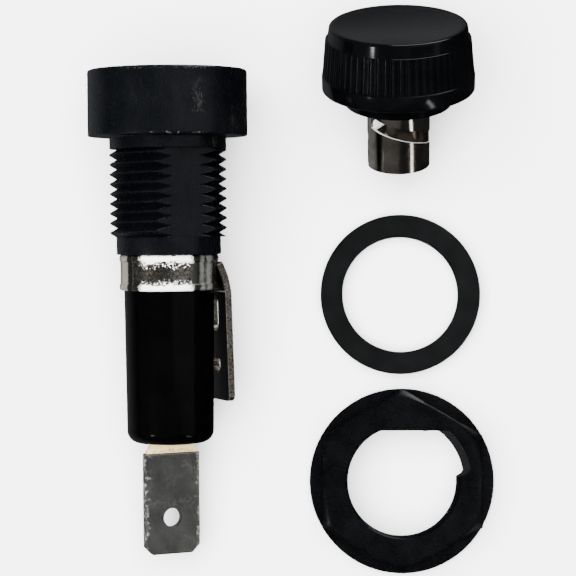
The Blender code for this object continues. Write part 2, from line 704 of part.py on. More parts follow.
def nut(parent, material):
    """Hexagon nut with a round flange below. Its thread is left out over a notch and a flat beside it."""
    flange_r = NUT_FLANGE_D / 2.0
    half_flats = NUT_ACROSS_FLATS / 2.0
    major_r = THREAD_D / 2.0 + NUT_THREAD_CLEARANCE
    minor_r = major_r - NUT_THREAD_DEPTH
    hole_r = minor_r + NUT_HOLE_EDGE

    def hexagon_r(theta):
        from_flat = (theta + math.pi / 6.0) % (math.pi / 3.0) - math.pi / 6.0
        return min(half_flats / math.cos(from_flat), flange_r - FIT)

    def radius_at(theta, phase):
        return minor_r + NUT_THREAD_DEPTH * (1.0 - flank(phase))

    def notched(row):
        """Keep a row inside the flat, and move it out to the notch's sloping wall."""
        def shaped(theta):
            r, z = row(theta)
            if NUT_NOTCH_FROM < theta < NUT_NOTCH_TO:
                r = NUT_NOTCH_END_R + (NUT_NOTCH_TOP_R - NUT_NOTCH_END_R) * z / NUT_H
            return min(r, NUT_FLAT / max(math.sin(theta), MERGE)), z
        return shaped

    thread_top = NUT_H - NUT_LEAD_IN
    outside = [still(flange_r, 0.0), still(flange_r, NUT_FLANGE_H),
               lambda theta: (hexagon_r(theta), NUT_FLANGE_H),
               lambda theta: (hexagon_r(theta), NUT_H - NUT_CHAMFER),
               lambda theta: (min(hexagon_r(theta), half_flats + NUT_CHAMFER) - NUT_CHAMFER, NUT_H)]
    inside = [still(hole_r, NUT_H), still(hole_r, thread_top)]
    inside += thread_rows(radius_at, thread_top, thread_top - NUT_LEAD_IN)
    inside += [still(hole_r, NUT_LEAD_IN), still(hole_r, 0.0)]
    rows = outside + [notched(row) for row in inside]
    return add_object("nut", turned_by_rule("nut", rows, FINE_STEPS), parent, material)


def holder_tilt():
    """Angle at which the flange rim and the side blade's lower corner both touch the surface."""
    rim_r = FLANGE_D / 2.0
    tip_z = SIDE_TIP_Z + SIDE_CORNER
    corner_depth = SIDE_TIP_R * math.sin(HOLDER_ROLL) + BLADE_W / 2.0 * math.cos(HOLDER_ROLL)
    return math.atan2(rim_r - corner_depth, FLANGE_UNDER_EDGE - tip_z)


def cap_tilt():
    """Angle at which the cap's rim and the end of its sleeve both touch the surface."""
    return math.atan2((CAP_RIM_D - FERRULE_OD) / 2.0, FERRULE_BELOW_RIM + CAP_RIM_EDGE)


def lay_out(layout):
    """Place the four sub-assembly frames as they lie and return them by name."""
    holder = frame_at("holder_axis", layout)
    tilt = holder_tilt()
    holder.rotation_mode = "QUATERNION"
    lying = Vector((0.0, math.cos(tilt), math.sin(tilt)))
    right = Vector((1.0, 0.0, 0.0))
    holder.rotation_quaternion = turned_to(lying, right, HOLDER_ROLL, HOLDER_LEAN)
    holder.location = (HOLDER_X, HOLDER_FLANGE_Y, 0.0)
    cap_frame = frame_at("cap_axis", layout)
    cap_frame.rotation_mode = "QUATERNION"
    rise = cap_tilt()
    cap_lying = Vector((0.0, math.cos(rise), math.sin(rise)))
    cap_frame.rotation_quaternion = turned_to(cap_lying, right, 0.0, CAP_LEAN)
    cap_frame.location = (CAP_X, CAP_TOP_Y - CAP_TOP_Z * math.cos(rise), 0.0)
    gasket_frame = frame_at("gasket_axis", layout)
    gasket_frame.location = (GASKET_X, GASKET_Y, 0.0)
    nut_frame = frame_at("nut_axis", layout)
    nut_frame.location = (NUT_X, NUT_Y, 0.0)
    return {"holder": holder, "cap": cap_frame, "gasket": gasket_frame, "nut": nut_frame}


def turned_to(axis, right, roll, lean):
    """Rotation that lays +Z along an axis and +X along a side, then rolls and leans the piece."""
    depth = axis.cross(right)
    lying = Matrix((right, depth, axis)).transposed().to_4x4()
    rolled = Matrix.Rotation(lean, 4, "Z") @ lying @ Matrix.Rotation(roll, 4, "Z")
    return rolled.to_quaternion()


def lowest_and_highest(items):
    """Corners of the box round some objects, measured on their evaluated meshes."""
    graph = bpy.context.evaluated_depsgraph_get()
    low = Vector((math.inf, math.inf, math.inf))
    high = -low
    for item in items:
        shown = item.evaluated_get(graph)
        mesh = shown.to_mesh()
        for vertex in mesh.vertices:
            point = shown.matrix_world @ vertex.co
            low = Vector(map(min, low, point))
            high = Vector(map(max, high, point))
        shown.to_mesh_clear()
    return low, high


def settle(frames, groups, layout):
    """Lower each sub-assembly onto z = 0, then centre the set over the origin."""
    bpy.context.view_layer.update()
    for name, frame in frames.items():
        low, high = lowest_and_highest(groups[name])
        frame.location.z -= low.z
    bpy.context.view_layer.update()
    everything = [item for items in groups.values() for item in items]
    low, high = lowest_and_highest(everything)
    layout.location = (-(low.x + high.x) / 2.0, -(low.y + high.y) / 2.0, 0.0)
    bpy.context.view_layer.update()


def main():
    """Build the set."""
    clear_scene()
    moulded = (0.012, 0.013, 0.015)
    satin = finish("satin_moulding", moulded, 0.38, 0.0)
    gloss = finish("gloss_moulding", (0.008, 0.008, 0.009), 0.18, 0.0)
    ribbed = finish("cap_moulding", moulded, 0.3, 0.0)
    nut_black = finish("nut_moulding", moulded, 0.3, 0.0)
    rubber = finish("rubber", (0.02, 0.02, 0.021), 0.75, 0.0)
    tin = finish("tinned_sheet", (0.55, 0.54, 0.51), 0.35, 1.0)
    end_tin = finish("tinned_blade", (0.42, 0.42, 0.4), 0.4, 1.0)
    nickel = finish("nickel", (0.62, 0.6, 0.56), 0.15, 1.0)
    sleeve_brass = finish("sleeve_brass", (0.7, 0.6, 0.38), 0.25, 1.0)
    seat_brass = finish("seat_brass", (0.72, 0.6, 0.35), 0.3, 1.0)
    cup_brass = finish("cup_brass", (0.75, 0.66, 0.45), 0.25, 1.0)
    wire = finish("spring_wire", (0.6, 0.6, 0.6), 0.3, 1.0)
    rivet_steel = finish("rivet_steel", (0.6, 0.6, 0.6), 0.35, 1.0)

    layout = frame_at("layout")
    frames = lay_out(layout)
    holder = frames["holder"]
    cap_frame = frames["cap"]
    groups = {
        "holder": [
            housing(holder, satin),
            contact_sleeve(holder, sleeve_brass),
            side_terminal(holder, tin),
            barrel(holder, gloss),
            spring_seat(holder, seat_brass),
            end_terminal(holder, end_tin),
            contact_spring(holder, wire),
            contact_cup(holder, cup_brass),
        ],
        "cap": [cap(cap_frame, ribbed), cap_sleeve(cap_frame, nickel), cap_rivet(cap_frame, rivet_steel)],
        "gasket": [gasket(frames["gasket"], rubber)],
        "nut": [nut(frames["nut"], nut_black)],
    }
    settle(frames, groups, layout)


main()
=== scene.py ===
"""Looks of a panel-mount fuse holder that lies on a pale floor with its cap, gasket and nut taken off.

Each sub-assembly is built in a frame of its own, in millimetres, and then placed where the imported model
has it. In the holder's frame z = 0 is the underside of the flange, +Z points to the flange and +X to the
side terminal. In the cap's frame z = 0 is the underside of the rim and +Z points to the top of the cap.
"""

import json
import logging
import math
from dataclasses import dataclass, field
from enum import Enum
from typing import Callable, Sequence

import bmesh
import bpy
from mathutils import Matrix, Vector


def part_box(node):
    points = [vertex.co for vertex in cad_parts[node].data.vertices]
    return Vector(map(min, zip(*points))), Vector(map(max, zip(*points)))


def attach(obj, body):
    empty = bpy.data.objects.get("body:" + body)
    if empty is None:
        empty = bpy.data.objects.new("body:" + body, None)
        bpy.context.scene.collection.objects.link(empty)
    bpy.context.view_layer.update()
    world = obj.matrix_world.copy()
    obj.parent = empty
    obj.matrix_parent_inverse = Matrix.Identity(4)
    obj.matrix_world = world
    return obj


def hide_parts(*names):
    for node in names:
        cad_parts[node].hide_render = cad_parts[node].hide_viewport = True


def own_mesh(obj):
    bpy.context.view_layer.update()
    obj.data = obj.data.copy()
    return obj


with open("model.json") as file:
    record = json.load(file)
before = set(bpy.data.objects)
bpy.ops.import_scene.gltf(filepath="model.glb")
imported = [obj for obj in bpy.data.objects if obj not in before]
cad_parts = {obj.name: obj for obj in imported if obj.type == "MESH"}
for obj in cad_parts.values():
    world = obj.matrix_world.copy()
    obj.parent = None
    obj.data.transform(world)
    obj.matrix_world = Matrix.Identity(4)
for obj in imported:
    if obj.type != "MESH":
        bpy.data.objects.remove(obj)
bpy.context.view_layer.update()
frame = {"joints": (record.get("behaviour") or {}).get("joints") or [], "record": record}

LOG = logging.getLogger("fuse_holder")

MM = 0.001
FULL_TURN = 2.0 * math.pi
MERGE = 0.0001           # points nearer than this, in millimetres, are one point
ON_PLANE = 1e-5          # points nearer than this to a cutting plane lie on it
TINY = 1e-6              # keeps a divisor from zero, and a rounding error from a decision
FAR = 1000.0             # farther out than any piece reaches
MID_RANGE = (0.3, 0.7)   # where most of a noise pattern's values lie
STRAIGHT_DEG = 172.0     # corners blunter than this are not rounded
SIDE_SHARE = 0.42        # the most of a side that the rounding of its corner takes
PLAIN_ROW = -1.0         # the turn of a row that the thread's tree leaves in place
OWN = "own_place"        # a piece's own millimetres, kept on its points for its material

Point = tuple[float, float]
Triple = tuple[float, float, float]
Row = Callable[[float], Point]
BMesh = bmesh.types.BMesh
Material = bpy.types.Material
Socket = bpy.types.NodeSocket


class Body(Enum):
    """The rigid bodies that the pieces ride on."""

    HOLDER = "holder"
    CONTACT = "sprung_contact"


class Run(Enum):
    """Direction, in a piece's own frame, that its fine marks run along."""

    ALONG_Z = (1.0, 1.0, 0.05)
    NONE = (1.0, 1.0, 1.0)


class Wiring:
    """Short ways to add and link the nodes of one tree, for shaders and for geometry."""

    def __init__(self, tree: bpy.types.NodeTree) -> None:
        """Keep the tree that the nodes go into."""
        self.tree = tree

    def node(self, kind: str, **settings: object) -> bpy.types.Node:
        """Add a node.

        Args:
            kind: The node's type name.
            settings: Properties to set on the node.

        Returns:
            The new node.
        """
        made = self.tree.nodes.new(kind)
        for name, value in settings.items():
            setattr(made, name, value)
        return made

    def join(self, source: object, target: Socket) -> None:
        """Link a socket to a target, or set the target where the source is a plain value.

        Args:
            source: The socket or value.
            target: The socket that takes it.
        """
        if isinstance(source, Socket):
            self.tree.links.new(source, target)
        else:
            target.default_value = source

    def math(self, operation: str, first: object, second: object = 0.0, third: object = 0.0,
             clamp: bool = False) -> Socket:
        """Add a Math node.

        Args:
            operation: The node's operation.
            first: Value or socket for the first input.
            second: Value or socket for the second input.
            third: Value or socket for the third input.
            clamp: Whether the result is kept from 0 to 1.

        Returns:
            The result's socket.
        """
        made = self.node("ShaderNodeMath", operation=operation, use_clamp=clamp)
        for source, target in zip((first, second, third), made.inputs):
            self.join(source, target)
        return made.outputs[0]

    def times(self, first: object, second: object) -> Socket:
        """Multiply two values."""
        return self.math("MULTIPLY", first, second)

    def plus(self, first: object, second: object) -> Socket:
        """Add two values."""
        return self.math("ADD", first, second)

    def minus(self, first: object, second: object) -> Socket:
        """Take the second value from the first."""
        return self.math("SUBTRACT", first, second)

    def mix(self, share: object, first: Socket | Triple, second: Socket | Triple) -> Socket:
        """Blend two colours by a share and return the result's socket.

        Args:
            share: Value or socket of the second colour's share.
            first: Colour or its socket.
            second: Colour or its socket.

        Returns:
            The blended colour's socket.
        """
        made = self.node("ShaderNodeMix", data_type="RGBA")
        self.join(share, made.inputs[0])
        for colour, target in ((first, made.inputs[6]), (second, made.inputs[7])):
            self.join((*colour, 1.0) if isinstance(colour, tuple) else colour, target)
        return made.outputs[2]

    def vector(self, operation: str, first: object, second: object = (0.0, 0.0, 0.0),
               scale: object = 1.0) -> bpy.types.Node:
        """Add a Vector Math node with its inputs joined and return it.

        Args:
            operation: The node's operation.
            first: Vector or its socket.
            second: Vector or its socket.
            scale: Value or socket for the scale.

        Returns:
            The new node.
        """
        made = self.node("ShaderNodeVectorMath", operation=operation)
        for source, place in ((first, 0), (second, 1), (scale, 3)):
            self.join(source, made.inputs[place])
        return made

    def noise(self, place: Socket, scale: float, detail: float = 3.0,
              stretch: Sequence[float] = (1.0, 1.0, 1.0)) -> Socket:
        """Add a noise pattern.

        Args:
            place: Socket of the coordinates.
            scale: Waves for each millimetre.
            detail: Number of finer layers.
            stretch: Factors on the three axes, small along the direction that the marks run.

        Returns:
            Socket of a value around 0.5.
        """
        mapping = self.node("ShaderNodeMapping")
        self.join(place, mapping.inputs["Vector"])
        mapping.inputs["Scale"].default_value = stretch
        made = self.node("ShaderNodeTexNoise")
        self.join(mapping.outputs[0], made.inputs["Vector"])
        made.inputs["Scale"].default_value = scale
        made.inputs["Detail"].default_value = detail
        return made.outputs[0]

    def window(self, value: object, low: float, high: float, start: float = 0.0,
               end: float = 1.0) -> Socket:
        """Stretch a value's range from low..high to start..end, cut off at both ends.

        Args:
            value: The value's socket.
            low: Where the range starts.
            high: Where the range ends.
            start: Result at low.
            end: Result at high.

        Returns:
            The result's socket.
        """
        made = self.node("ShaderNodeMapRange", clamp=True)
        self.join(value, made.inputs["Value"])
        for name, number in (("From Min", low), ("From Max", high), ("To Min", start), ("To Max", end)):
            made.inputs[name].default_value = number
        return made.outputs[0]

    def varied(self, pattern: Socket, middle: float, spread: float) -> Socket:
        """Let a value vary about its middle with a noise pattern."""
        return self.window(pattern, *MID_RANGE, middle - spread / 2.0, middle + spread / 2.0)


def new_material(name: str) -> tuple[Material, Wiring, bpy.types.Node, Socket]:
    """Make a material that reads the piece's own place.

    Args:
        name: The material's name.

    Returns:
        The material, its wiring, its Principled shader and the socket of the place in millimetres.
    """
    material = bpy.data.materials.new(name)
    material.use_nodes = True
    wiring = Wiring(material.node_tree)
    place = wiring.node("ShaderNodeAttribute", attribute_name=OWN)
    return material, wiring, material.node_tree.nodes["Principled BSDF"], place.outputs["Vector"]


def add_bump(wiring: Wiring, shader: bpy.types.Node, height: Socket, depth: float) -> None:
    """Turn a height into fine relief.

    Args:
        wiring: The material's wiring.
        shader: The shader that gets the relief.
        height: Socket of the height from 0 to 1.
        depth: Depth of the relief in millimetres.
    """
    bump = wiring.node("ShaderNodeBump")
    bump.inputs["Strength"].default_value = 1.0
    bump.inputs["Distance"].default_value = depth * MM
    wiring.join(height, bump.inputs["Height"])
    wiring.join(bump.outputs[0], shader.inputs["Normal"])


@dataclass(frozen=True)
class Mark:
    """A pale place on a piece, in its own millimetres: a patch, or a line where it has an end; it stands for wear,
    or for a painted highlight.

    The noise, times RAGGED_GAIN and less RAGGED_FROM, breaks up the mark's edge, which fades over EDGE.
    """

    RAGGED_GAIN = 7.0
    RAGGED_FROM = 2.75
    EDGE = (0.2, 0.9)

    start: Triple
    reach: float
    strength: float = 1.0
    end: Triple | None = None

    def mask(self, wiring: Wiring, place: Socket, ragged: Socket) -> Socket:
        """Share of the worn place at each point.

        Args:
            wiring: The material's wiring.
            place: Socket of the piece's own place.
            ragged: Socket of a noise that breaks the place up.

        Returns:
            Socket of a value from 0 to the mark's strength.
        """
        offset = wiring.vector("SUBTRACT", place, self.start).outputs["Vector"]
        if self.end is not None:
            way = Vector(self.end) - Vector(self.start)
            along = wiring.vector("DOT_PRODUCT", offset, tuple(way / way.length_squared)).outputs["Value"]
            along = wiring.math("MULTIPLY", along, 1.0, clamp=True)
            on_line = wiring.vector("SCALE", tuple(way), scale=along).outputs["Vector"]
            offset = wiring.vector("SUBTRACT", offset, on_line).outputs["Vector"]
        away = wiring.vector("LENGTH", offset).outputs["Value"]
        spread = wiring.math("MULTIPLY_ADD", ragged, self.RAGGED_GAIN, -self.RAGGED_FROM)
        spread = wiring.minus(spread, wiring.math("DIVIDE", away, self.reach))
        return wiring.window(spread, *self.EDGE, 0.0, self.strength)


def around(radius: float, theta: float, z: float) -> Triple:
    """The point at a radius, an angle and a height."""
    return radius * math.cos(theta), radius * math.sin(theta), z


def rim_highlights(radius: float, height: float, turn_deg: Point, reach: float, strength: float,
              pieces: int = 2) -> tuple[Mark, ...]:
    """Lay short pale lines end to end along a round edge, as a painted highlight.

    Args:
        radius: The edge's radius.
        height: The edge's height.
        turn_deg: First and last angle.
        reach: How far the highlight reaches from the edge.
        strength: The highlight's strength.
        pieces: Number of straight lines.

    Returns:
        The lines.
    """
    first, last = turn_deg
    turns = [math.radians(first + (last - first) * i / pieces) for i in range(pieces + 1)]
    ends = [around(radius, turn, height) for turn in turns]
    return tuple(Mark(start, reach, strength, end) for start, end in zip(ends, ends[1:]))


@dataclass(frozen=True)
class Band:
    """A stretch of a plated piece, between two heights, that has a look of its own.

    It can be kept to one side of the piece, within reach_deg of middle_deg round the axis, or to the inner
    face of a strip, where x + slope * z stays below inner. Its ends fade over soft to both sides, and its
    sides over fade, a share of the cosine's range. A noise moves its edges by up to half of ragged and
    wears away the share breaks of it in places. A band with grit is cut into grains.
    """

    BREAK_EDGE = (0.6, 0.66)
    GRIT_EDGE = 0.08
    INNER_EDGE = 0.02

    low: float
    high: float
    colour: Triple
    metallic: float
    roughness: float
    soft: float = 0.06
    breaks: float = 0.0
    ragged: float = 0.0
    middle_deg: float = 0.0
    reach_deg: float = 180.0
    slope: float = 0.0
    inner: float = FAR
    grit: float = 0.0
    fade: float = 0.3

    def mask(self, wiring: Wiring, axes: Sequence[Socket], broken: Socket, grains: Socket) -> Socket:
        """Share of the band at each point.

        Args:
            wiring: The material's wiring.
            axes: Sockets of the three coordinates in millimetres.
            broken: Socket of a noise that wears the band away.
            grains: Socket of a fine noise that a gritty band is cut by.

        Returns:
            Socket of a value from 0 to 1.
        """
        x, y, z = axes
        wander = wiring.times(wiring.minus(broken, 0.5), self.ragged)
        height = wiring.plus(z, wander)
        rise = wiring.window(height, self.low - self.soft, self.low + self.soft)
        fall = wiring.window(height, self.high - self.soft, self.high + self.soft, 1.0, 0.0)
        share = wiring.times(rise, fall)
        if self.breaks > 0.0:
            share = wiring.times(share, wiring.window(broken, *self.BREAK_EDGE, 1.0, 1.0 - self.breaks))
        if self.reach_deg < 180.0:
            middle, reach = math.radians(self.middle_deg), math.radians(self.reach_deg)
            ahead = wiring.plus(wiring.times(x, math.cos(middle)), wiring.times(y, math.sin(middle)))
            from_axis = wiring.math("SQRT", wiring.plus(wiring.times(x, x), wiring.times(y, y)))
            soft = self.fade * (1.0 - math.cos(reach))
            turn = wiring.math("MULTIPLY_ADD", wander, soft * 2.0, wiring.math("DIVIDE", ahead, from_axis))
            share = wiring.times(share, wiring.window(turn, math.cos(reach), math.cos(reach) + soft))
        if self.grit > 0.0:
            share = wiring.times(share, wiring.window(grains, self.grit, self.grit + self.GRIT_EDGE))
        if self.inner < FAR:
            lean = wiring.math("MULTIPLY_ADD", z, self.slope, x)
            share = wiring.times(share, wiring.window(lean, self.inner - self.INNER_EDGE, self.inner, 1.0, 0.0))
        return share


@dataclass(frozen=True)
class Moulding:
    """Black moulded plastic with faint mottling, fine grain, a few scuffs and some painted highlights along its
    edges.
    """

    MOTTLE = (0.35, 0.68)
    SCUFF_FADE = 0.08
    SCUFF_SHARE = 0.13
    WEAR_AND_GLINT_ROUGH = 0.2

    name: str
    slot: str
    colour: Triple = (0.0006, 0.0008, 0.0012)
    pale: Triple = (0.0013, 0.0015, 0.002)
    scuff_and_glint: Triple = (0.04, 0.042, 0.041)
    roughness: float = 0.27
    roughness_spread: float = 0.1
    grain: float = 6.0
    grain_depth: float = 0.0035
    scuff_edge: float = 0.73
    specular: float = 0.5
    wear_and_glints: tuple[Mark, ...] = ()

    def build(self) -> Material:
        """Build the material and return it.

        Returns:
            The material.
        """
        material, wiring, shader, place = new_material(self.name)
        mottle = wiring.noise(place, 0.35, 4.0)
        smear = wiring.noise(place, 1.3, 5.0, (1.0, 1.0, 0.35))
        grain = wiring.noise(place, self.grain, 3.0)
        marks = wiring.noise(place, 2.2, 6.0, (1.0, 1.0, 0.4))
        scuffs_and_glints = wiring.times(wiring.window(marks, self.scuff_edge, self.scuff_edge + self.SCUFF_FADE),
                               self.SCUFF_SHARE)
        ragged = wiring.noise(place, 4.5, 8.0, (1.0, 1.0, 0.7))
        # Marks add scuffs, and painted highlights along edges, in the same pale colour.
        for mark in self.wear_and_glints:
            scuffs_and_glints = wiring.math("MAXIMUM", scuffs_and_glints, mark.mask(wiring, place, ragged))
        base = wiring.mix(wiring.window(mottle, *self.MOTTLE), self.colour, self.pale)
        wiring.join(wiring.mix(scuffs_and_glints, base, self.scuff_and_glint), shader.inputs["Base Color"])
        rough = wiring.varied(smear, self.roughness, self.roughness_spread)
        wiring.join(wiring.plus(rough, wiring.times(scuffs_and_glints, self.WEAR_AND_GLINT_ROUGH)), shader.inputs["Roughness"])
        shader.inputs["Specular IOR Level"].default_value = self.specular
        add_bump(wiring, shader, grain, self.grain_depth)
        return material


@dataclass(frozen=True)
class Plating:
    """Plated or bare metal with stains, fine scratches along one way, nicked edges and bands of their own; some
    bands are painted highlights, painted reflections or painted shade.

    Faces marked by the attribute lit_cut_name get a painted highlight: they are near white, duller and rougher. A
    blade's long edges, edge_half from its middle, have a chipped margin.
    """

    NICKS = (0.62, 0.72)
    SPECKLES = (0.34, 0.62)
    STAIN_ROUGH = 0.12
    CUT_HIGHLIGHT = (0.93, 0.92, 0.88)
    CUT_DULL = 0.7
    CUT_ROUGH = 0.2
    MARGIN = (1.1, 0.05)
    CHIPS = (0.63, 0.68)
    CHIP_GAIN = 0.12
    CHIP_DULL = 0.12

    name: str
    slot: str
    colour: Triple
    stain: Triple
    roughness: float = 0.25
    roughness_spread: float = 0.2
    stain_scale: float = 0.5
    stain_from: float = 0.42
    stain_to: float = 0.68
    run: Run = Run.ALONG_Z
    scratch_depth: float = 0.006
    nick_depth: float = 0.008
    bright: Triple = (0.8, 0.79, 0.76)
    edge_half: float = 0.0
    speckle: float = 0.0
    lit_cut_name: str = ""
    marks: tuple[Mark, ...] = ()
    bands: tuple[Band, ...] = ()

    def build(self) -> Material:
        """Build the material and return it.

        Returns:
            The material.
        """
        material, wiring, shader, place = new_material(self.name)
        axes = wiring.node("ShaderNodeSeparateXYZ")
        wiring.join(place, axes.inputs[0])
        stain = wiring.window(wiring.noise(place, self.stain_scale, 6.0), self.stain_from, self.stain_to)
        scratch = wiring.noise(place, 9.0, 4.0, self.run.value)
        broken = wiring.noise(place, 2.6, 5.0)
        nicks = wiring.window(broken, *self.NICKS)
        colour = wiring.mix(stain, self.colour, self.stain)
        rough = wiring.varied(scratch, self.roughness, self.roughness_spread)
        rough = wiring.plus(rough, wiring.times(stain, self.STAIN_ROUGH))
        metallic: object = 1.0
        grains = wiring.noise(place, 5.0, 4.0)
        if self.speckle > 0.0:
            dark = tuple(part * (1.0 - self.speckle) for part in self.stain)
            colour = wiring.mix(wiring.window(grains, *self.SPECKLES), dark, colour)
        for mark in self.marks:
            colour = wiring.mix(mark.mask(wiring, place, broken), colour, self.bright)
        if self.edge_half > 0.0:
            wear_and_glints = self.margin(wiring, place, axes.outputs["X"])
            colour = wiring.mix(wear_and_glints, colour, self.bright)
            metallic = wiring.minus(1.0, wiring.times(wear_and_glints, self.CHIP_DULL))
        # Marked cut faces get a painted highlight: near white, less metallic and rougher.
        if self.lit_cut_name:
            cut = wiring.node("ShaderNodeAttribute", attribute_name=self.lit_cut_name).outputs["Fac"]
            colour = wiring.mix(cut, colour, self.CUT_HIGHLIGHT)
            metallic = wiring.minus(1.0, wiring.times(cut, self.CUT_DULL))
            rough = wiring.plus(rough, wiring.times(cut, self.CUT_ROUGH))
        for band in self.bands:
            mask = band.mask(wiring, axes.outputs[:], broken, grains)
            colour = wiring.mix(mask, colour, band.colour)
            kept = wiring.minus(1.0, mask)
            metallic = wiring.math("MULTIPLY_ADD", mask, band.metallic, wiring.times(kept, metallic))
            rough = wiring.math("MULTIPLY_ADD", mask, band.roughness, wiring.times(kept, rough))
        wiring.join(colour, shader.inputs["Base Color"])
        wiring.join(metallic, shader.inputs["Metallic"])
        wiring.join(rough, shader.inputs["Roughness"])
        fine = wiring.times(scratch, self.scratch_depth / self.nick_depth)
        add_bump(wiring, shader, wiring.minus(fine, nicks), self.nick_depth)
        return material

    def margin(self, wiring: Wiring, place: Socket, x: Socket) -> Socket:
        """Share of the chipped margin along both long edges, at each point.

        Args:
            wiring: The material's wiring.
            place: Socket of the piece's own place.
            x: Socket of the distance across the blade.

        Returns:
            Socket of a value from 0 to 1.
        """
        across = wiring.math("ABSOLUTE", x)
        margin = wiring.window(across, *(self.edge_half - inward for inward in self.MARGIN))
        chips = wiring.plus(wiring.noise(place, 2.6, 8.0), wiring.times(margin, self.CHIP_GAIN))
        return wiring.times(margin, wiring.window(chips, *self.CHIPS))


@dataclass(frozen=True)
class Rubber:
    """Matte black rubber with dust-pale specks and a fine grain."""

    CLOUD = (0.3, 0.75)
    SMOOTHER = 0.08
    ROUGHER = 0.1

    name: str
    slot: str
    colour: Triple = (0.0009, 0.001, 0.0011)
    pale: Triple = (0.0017, 0.0019, 0.002)
    roughness: float = 0.55
    specular: float = 0.35
    grain_depth: float = 0.008

    def build(self) -> Material:
        """Build the material and return it.

        Returns:
            The material.
        """
        material, wiring, shader, place = new_material(self.name)
        cloud = wiring.noise(place, 0.5, 6.0)
        grain = wiring.noise(place, 9.0, 3.0)
        colour = wiring.mix(wiring.window(cloud, *self.CLOUD), self.colour, self.pale)
        wiring.join(colour, shader.inputs["Base Color"])
        rough = wiring.window(grain, *MID_RANGE, self.roughness - self.SMOOTHER, self.roughness + self.ROUGHER)
        wiring.join(rough, shader.inputs["Roughness"])
        shader.inputs["Specular IOR Level"].default_value = self.specular
        add_bump(wiring, shader, grain, self.grain_depth)
        return material


SATIN = Moulding("satin_black_moulding", "satin_moulding",
                 wear_and_glints=(Mark((0.25, -8.67, 3.0), 0.75, 0.2, (0.1, -8.67, 4.1)),
                       Mark((-0.35, -8.66, 4.9), 0.6, 0.08, (0.3, -8.66, 5.6)),
                       # Short pale lines along the lower edge: partly wear, partly a painted highlight where the
                       # rounded edge catches light.
                       Mark((-4.69, -7.23, 0.14), 0.12, 0.9, (-4.31, -7.47, 0.2)),
                       Mark((-3.51, -7.87, 0.2), 0.12, 1.0, (-2.81, -8.15, 0.1)),
                       Mark((-2.23, -8.33, 0.1), 0.1, 0.6, (-1.87, -8.42, 0.16)),
                       Mark((-0.45, -8.61, 0.1), 0.1, 0.6, (0.3, -8.61, 0.14)),
                       # A painted highlight along the near side of the top edge.
                       *rim_highlights(8.66, 6.93, (216.0, 230.0), 0.12, 0.25),
                       *rim_highlights(8.66, 6.93, (230.0, 262.0), 0.1, 0.1, 4),
                       *rim_highlights(8.66, 6.93, (262.0, 276.0), 0.12, 0.35)))
GLOSS = Moulding("glossy_black_moulding", "gloss_moulding", colour=(0.0002, 0.0002, 0.00025),
                 pale=(0.0004, 0.0004, 0.00045), roughness=0.15, roughness_spread=0.06, grain=3.0,
                 grain_depth=0.002, scuff_edge=0.76, specular=0.18)
CAP_BLACK = Moulding("cap_black_moulding", "cap_moulding", colour=(0.0004, 0.00045, 0.0006),
                     pale=(0.0009, 0.001, 0.0012), roughness=0.12, roughness_spread=0.05, grain_depth=0.0015,
                     specular=0.36)
# The nut's mark is a painted highlight along the upper edge of one hexagon side.
NUT_BLACK = Moulding("nut_black_moulding", "nut_moulding", colour=(0.0003, 0.00035, 0.0005),
                     pale=(0.0009, 0.001, 0.0013), roughness=0.28, scuff_edge=0.75, specular=0.36,
                     wear_and_glints=(Mark((1.0, 9.42, 4.2), 0.2, 0.5, (3.5, 7.98, 4.2)),))
GASKET_RUBBER = Rubber("gasket_rubber", "rubber")
RING_HIGHLIGHT = (0.92, 0.91, 0.87)
FACE_DEG = 245.0         # where the holder's upper side looks, round its axis


def streak(colour: Triple, metallic: float, roughness: float, ragged: float, middle_deg: float,
           reach_deg: float, fade: float) -> Band:
    """A painted reflection: a lighter or darker band over the ring's whole height, on one side of it."""
    return Band(-16.75, -12.7, colour, metallic, roughness, ragged=ragged, middle_deg=middle_deg,
                reach_deg=reach_deg, fade=fade)


def bar(low: float, high: float, ragged: float, reach_deg: float, grit: float = 0.0) -> Band:
    """A painted highlight: a pale bar across the ring's upper side, where a bead catches light."""
    return Band(low, high, RING_HIGHLIGHT, 0.1, 0.4, ragged=ragged, middle_deg=FACE_DEG, reach_deg=reach_deg, grit=grit)


# The ring's streaks are painted reflections, and its bars painted highlights on its beads.
SIDE_TIN = Plating("side_tin", "tinned_sheet", (0.7, 0.69, 0.64), (0.42, 0.36, 0.27), 0.3, 0.16, 0.4,
                   speckle=0.7, nick_depth=0.012,
                   bands=(streak((0.27, 0.275, 0.25), 1.0, 0.3, 0.3, 295.0, 19.0, 0.3),
                          streak((0.6, 0.61, 0.56), 0.9, 0.35, 0.8, 303.0, 9.0, 1.0),
                          streak((0.5, 0.51, 0.47), 0.9, 0.35, 0.8, 291.0, 5.0, 1.0),
                          streak((0.3, 0.28, 0.23), 0.7, 0.4, 0.8, 182.0, 14.0, 0.9),
                          streak((0.03, 0.028, 0.024), 0.9, 0.4, 0.6, 197.0, 5.5, 0.6),
                          bar(-14.15, -13.6, 1.4, 32.0, 0.54), bar(-16.1, -15.6, 1.4, 32.0, 0.55),
                          bar(-13.6, -12.7, 1.4, 34.0), bar(-16.8, -15.95, 1.3, 34.0),
                          # Painted shade: a near-black band on the blade's inner face, which faces the barrel.
                          Band(-29.2, -16.9, (0.0015, 0.0015, 0.0015), 0.0, 0.4, slope=0.0293, inner=4.84)))
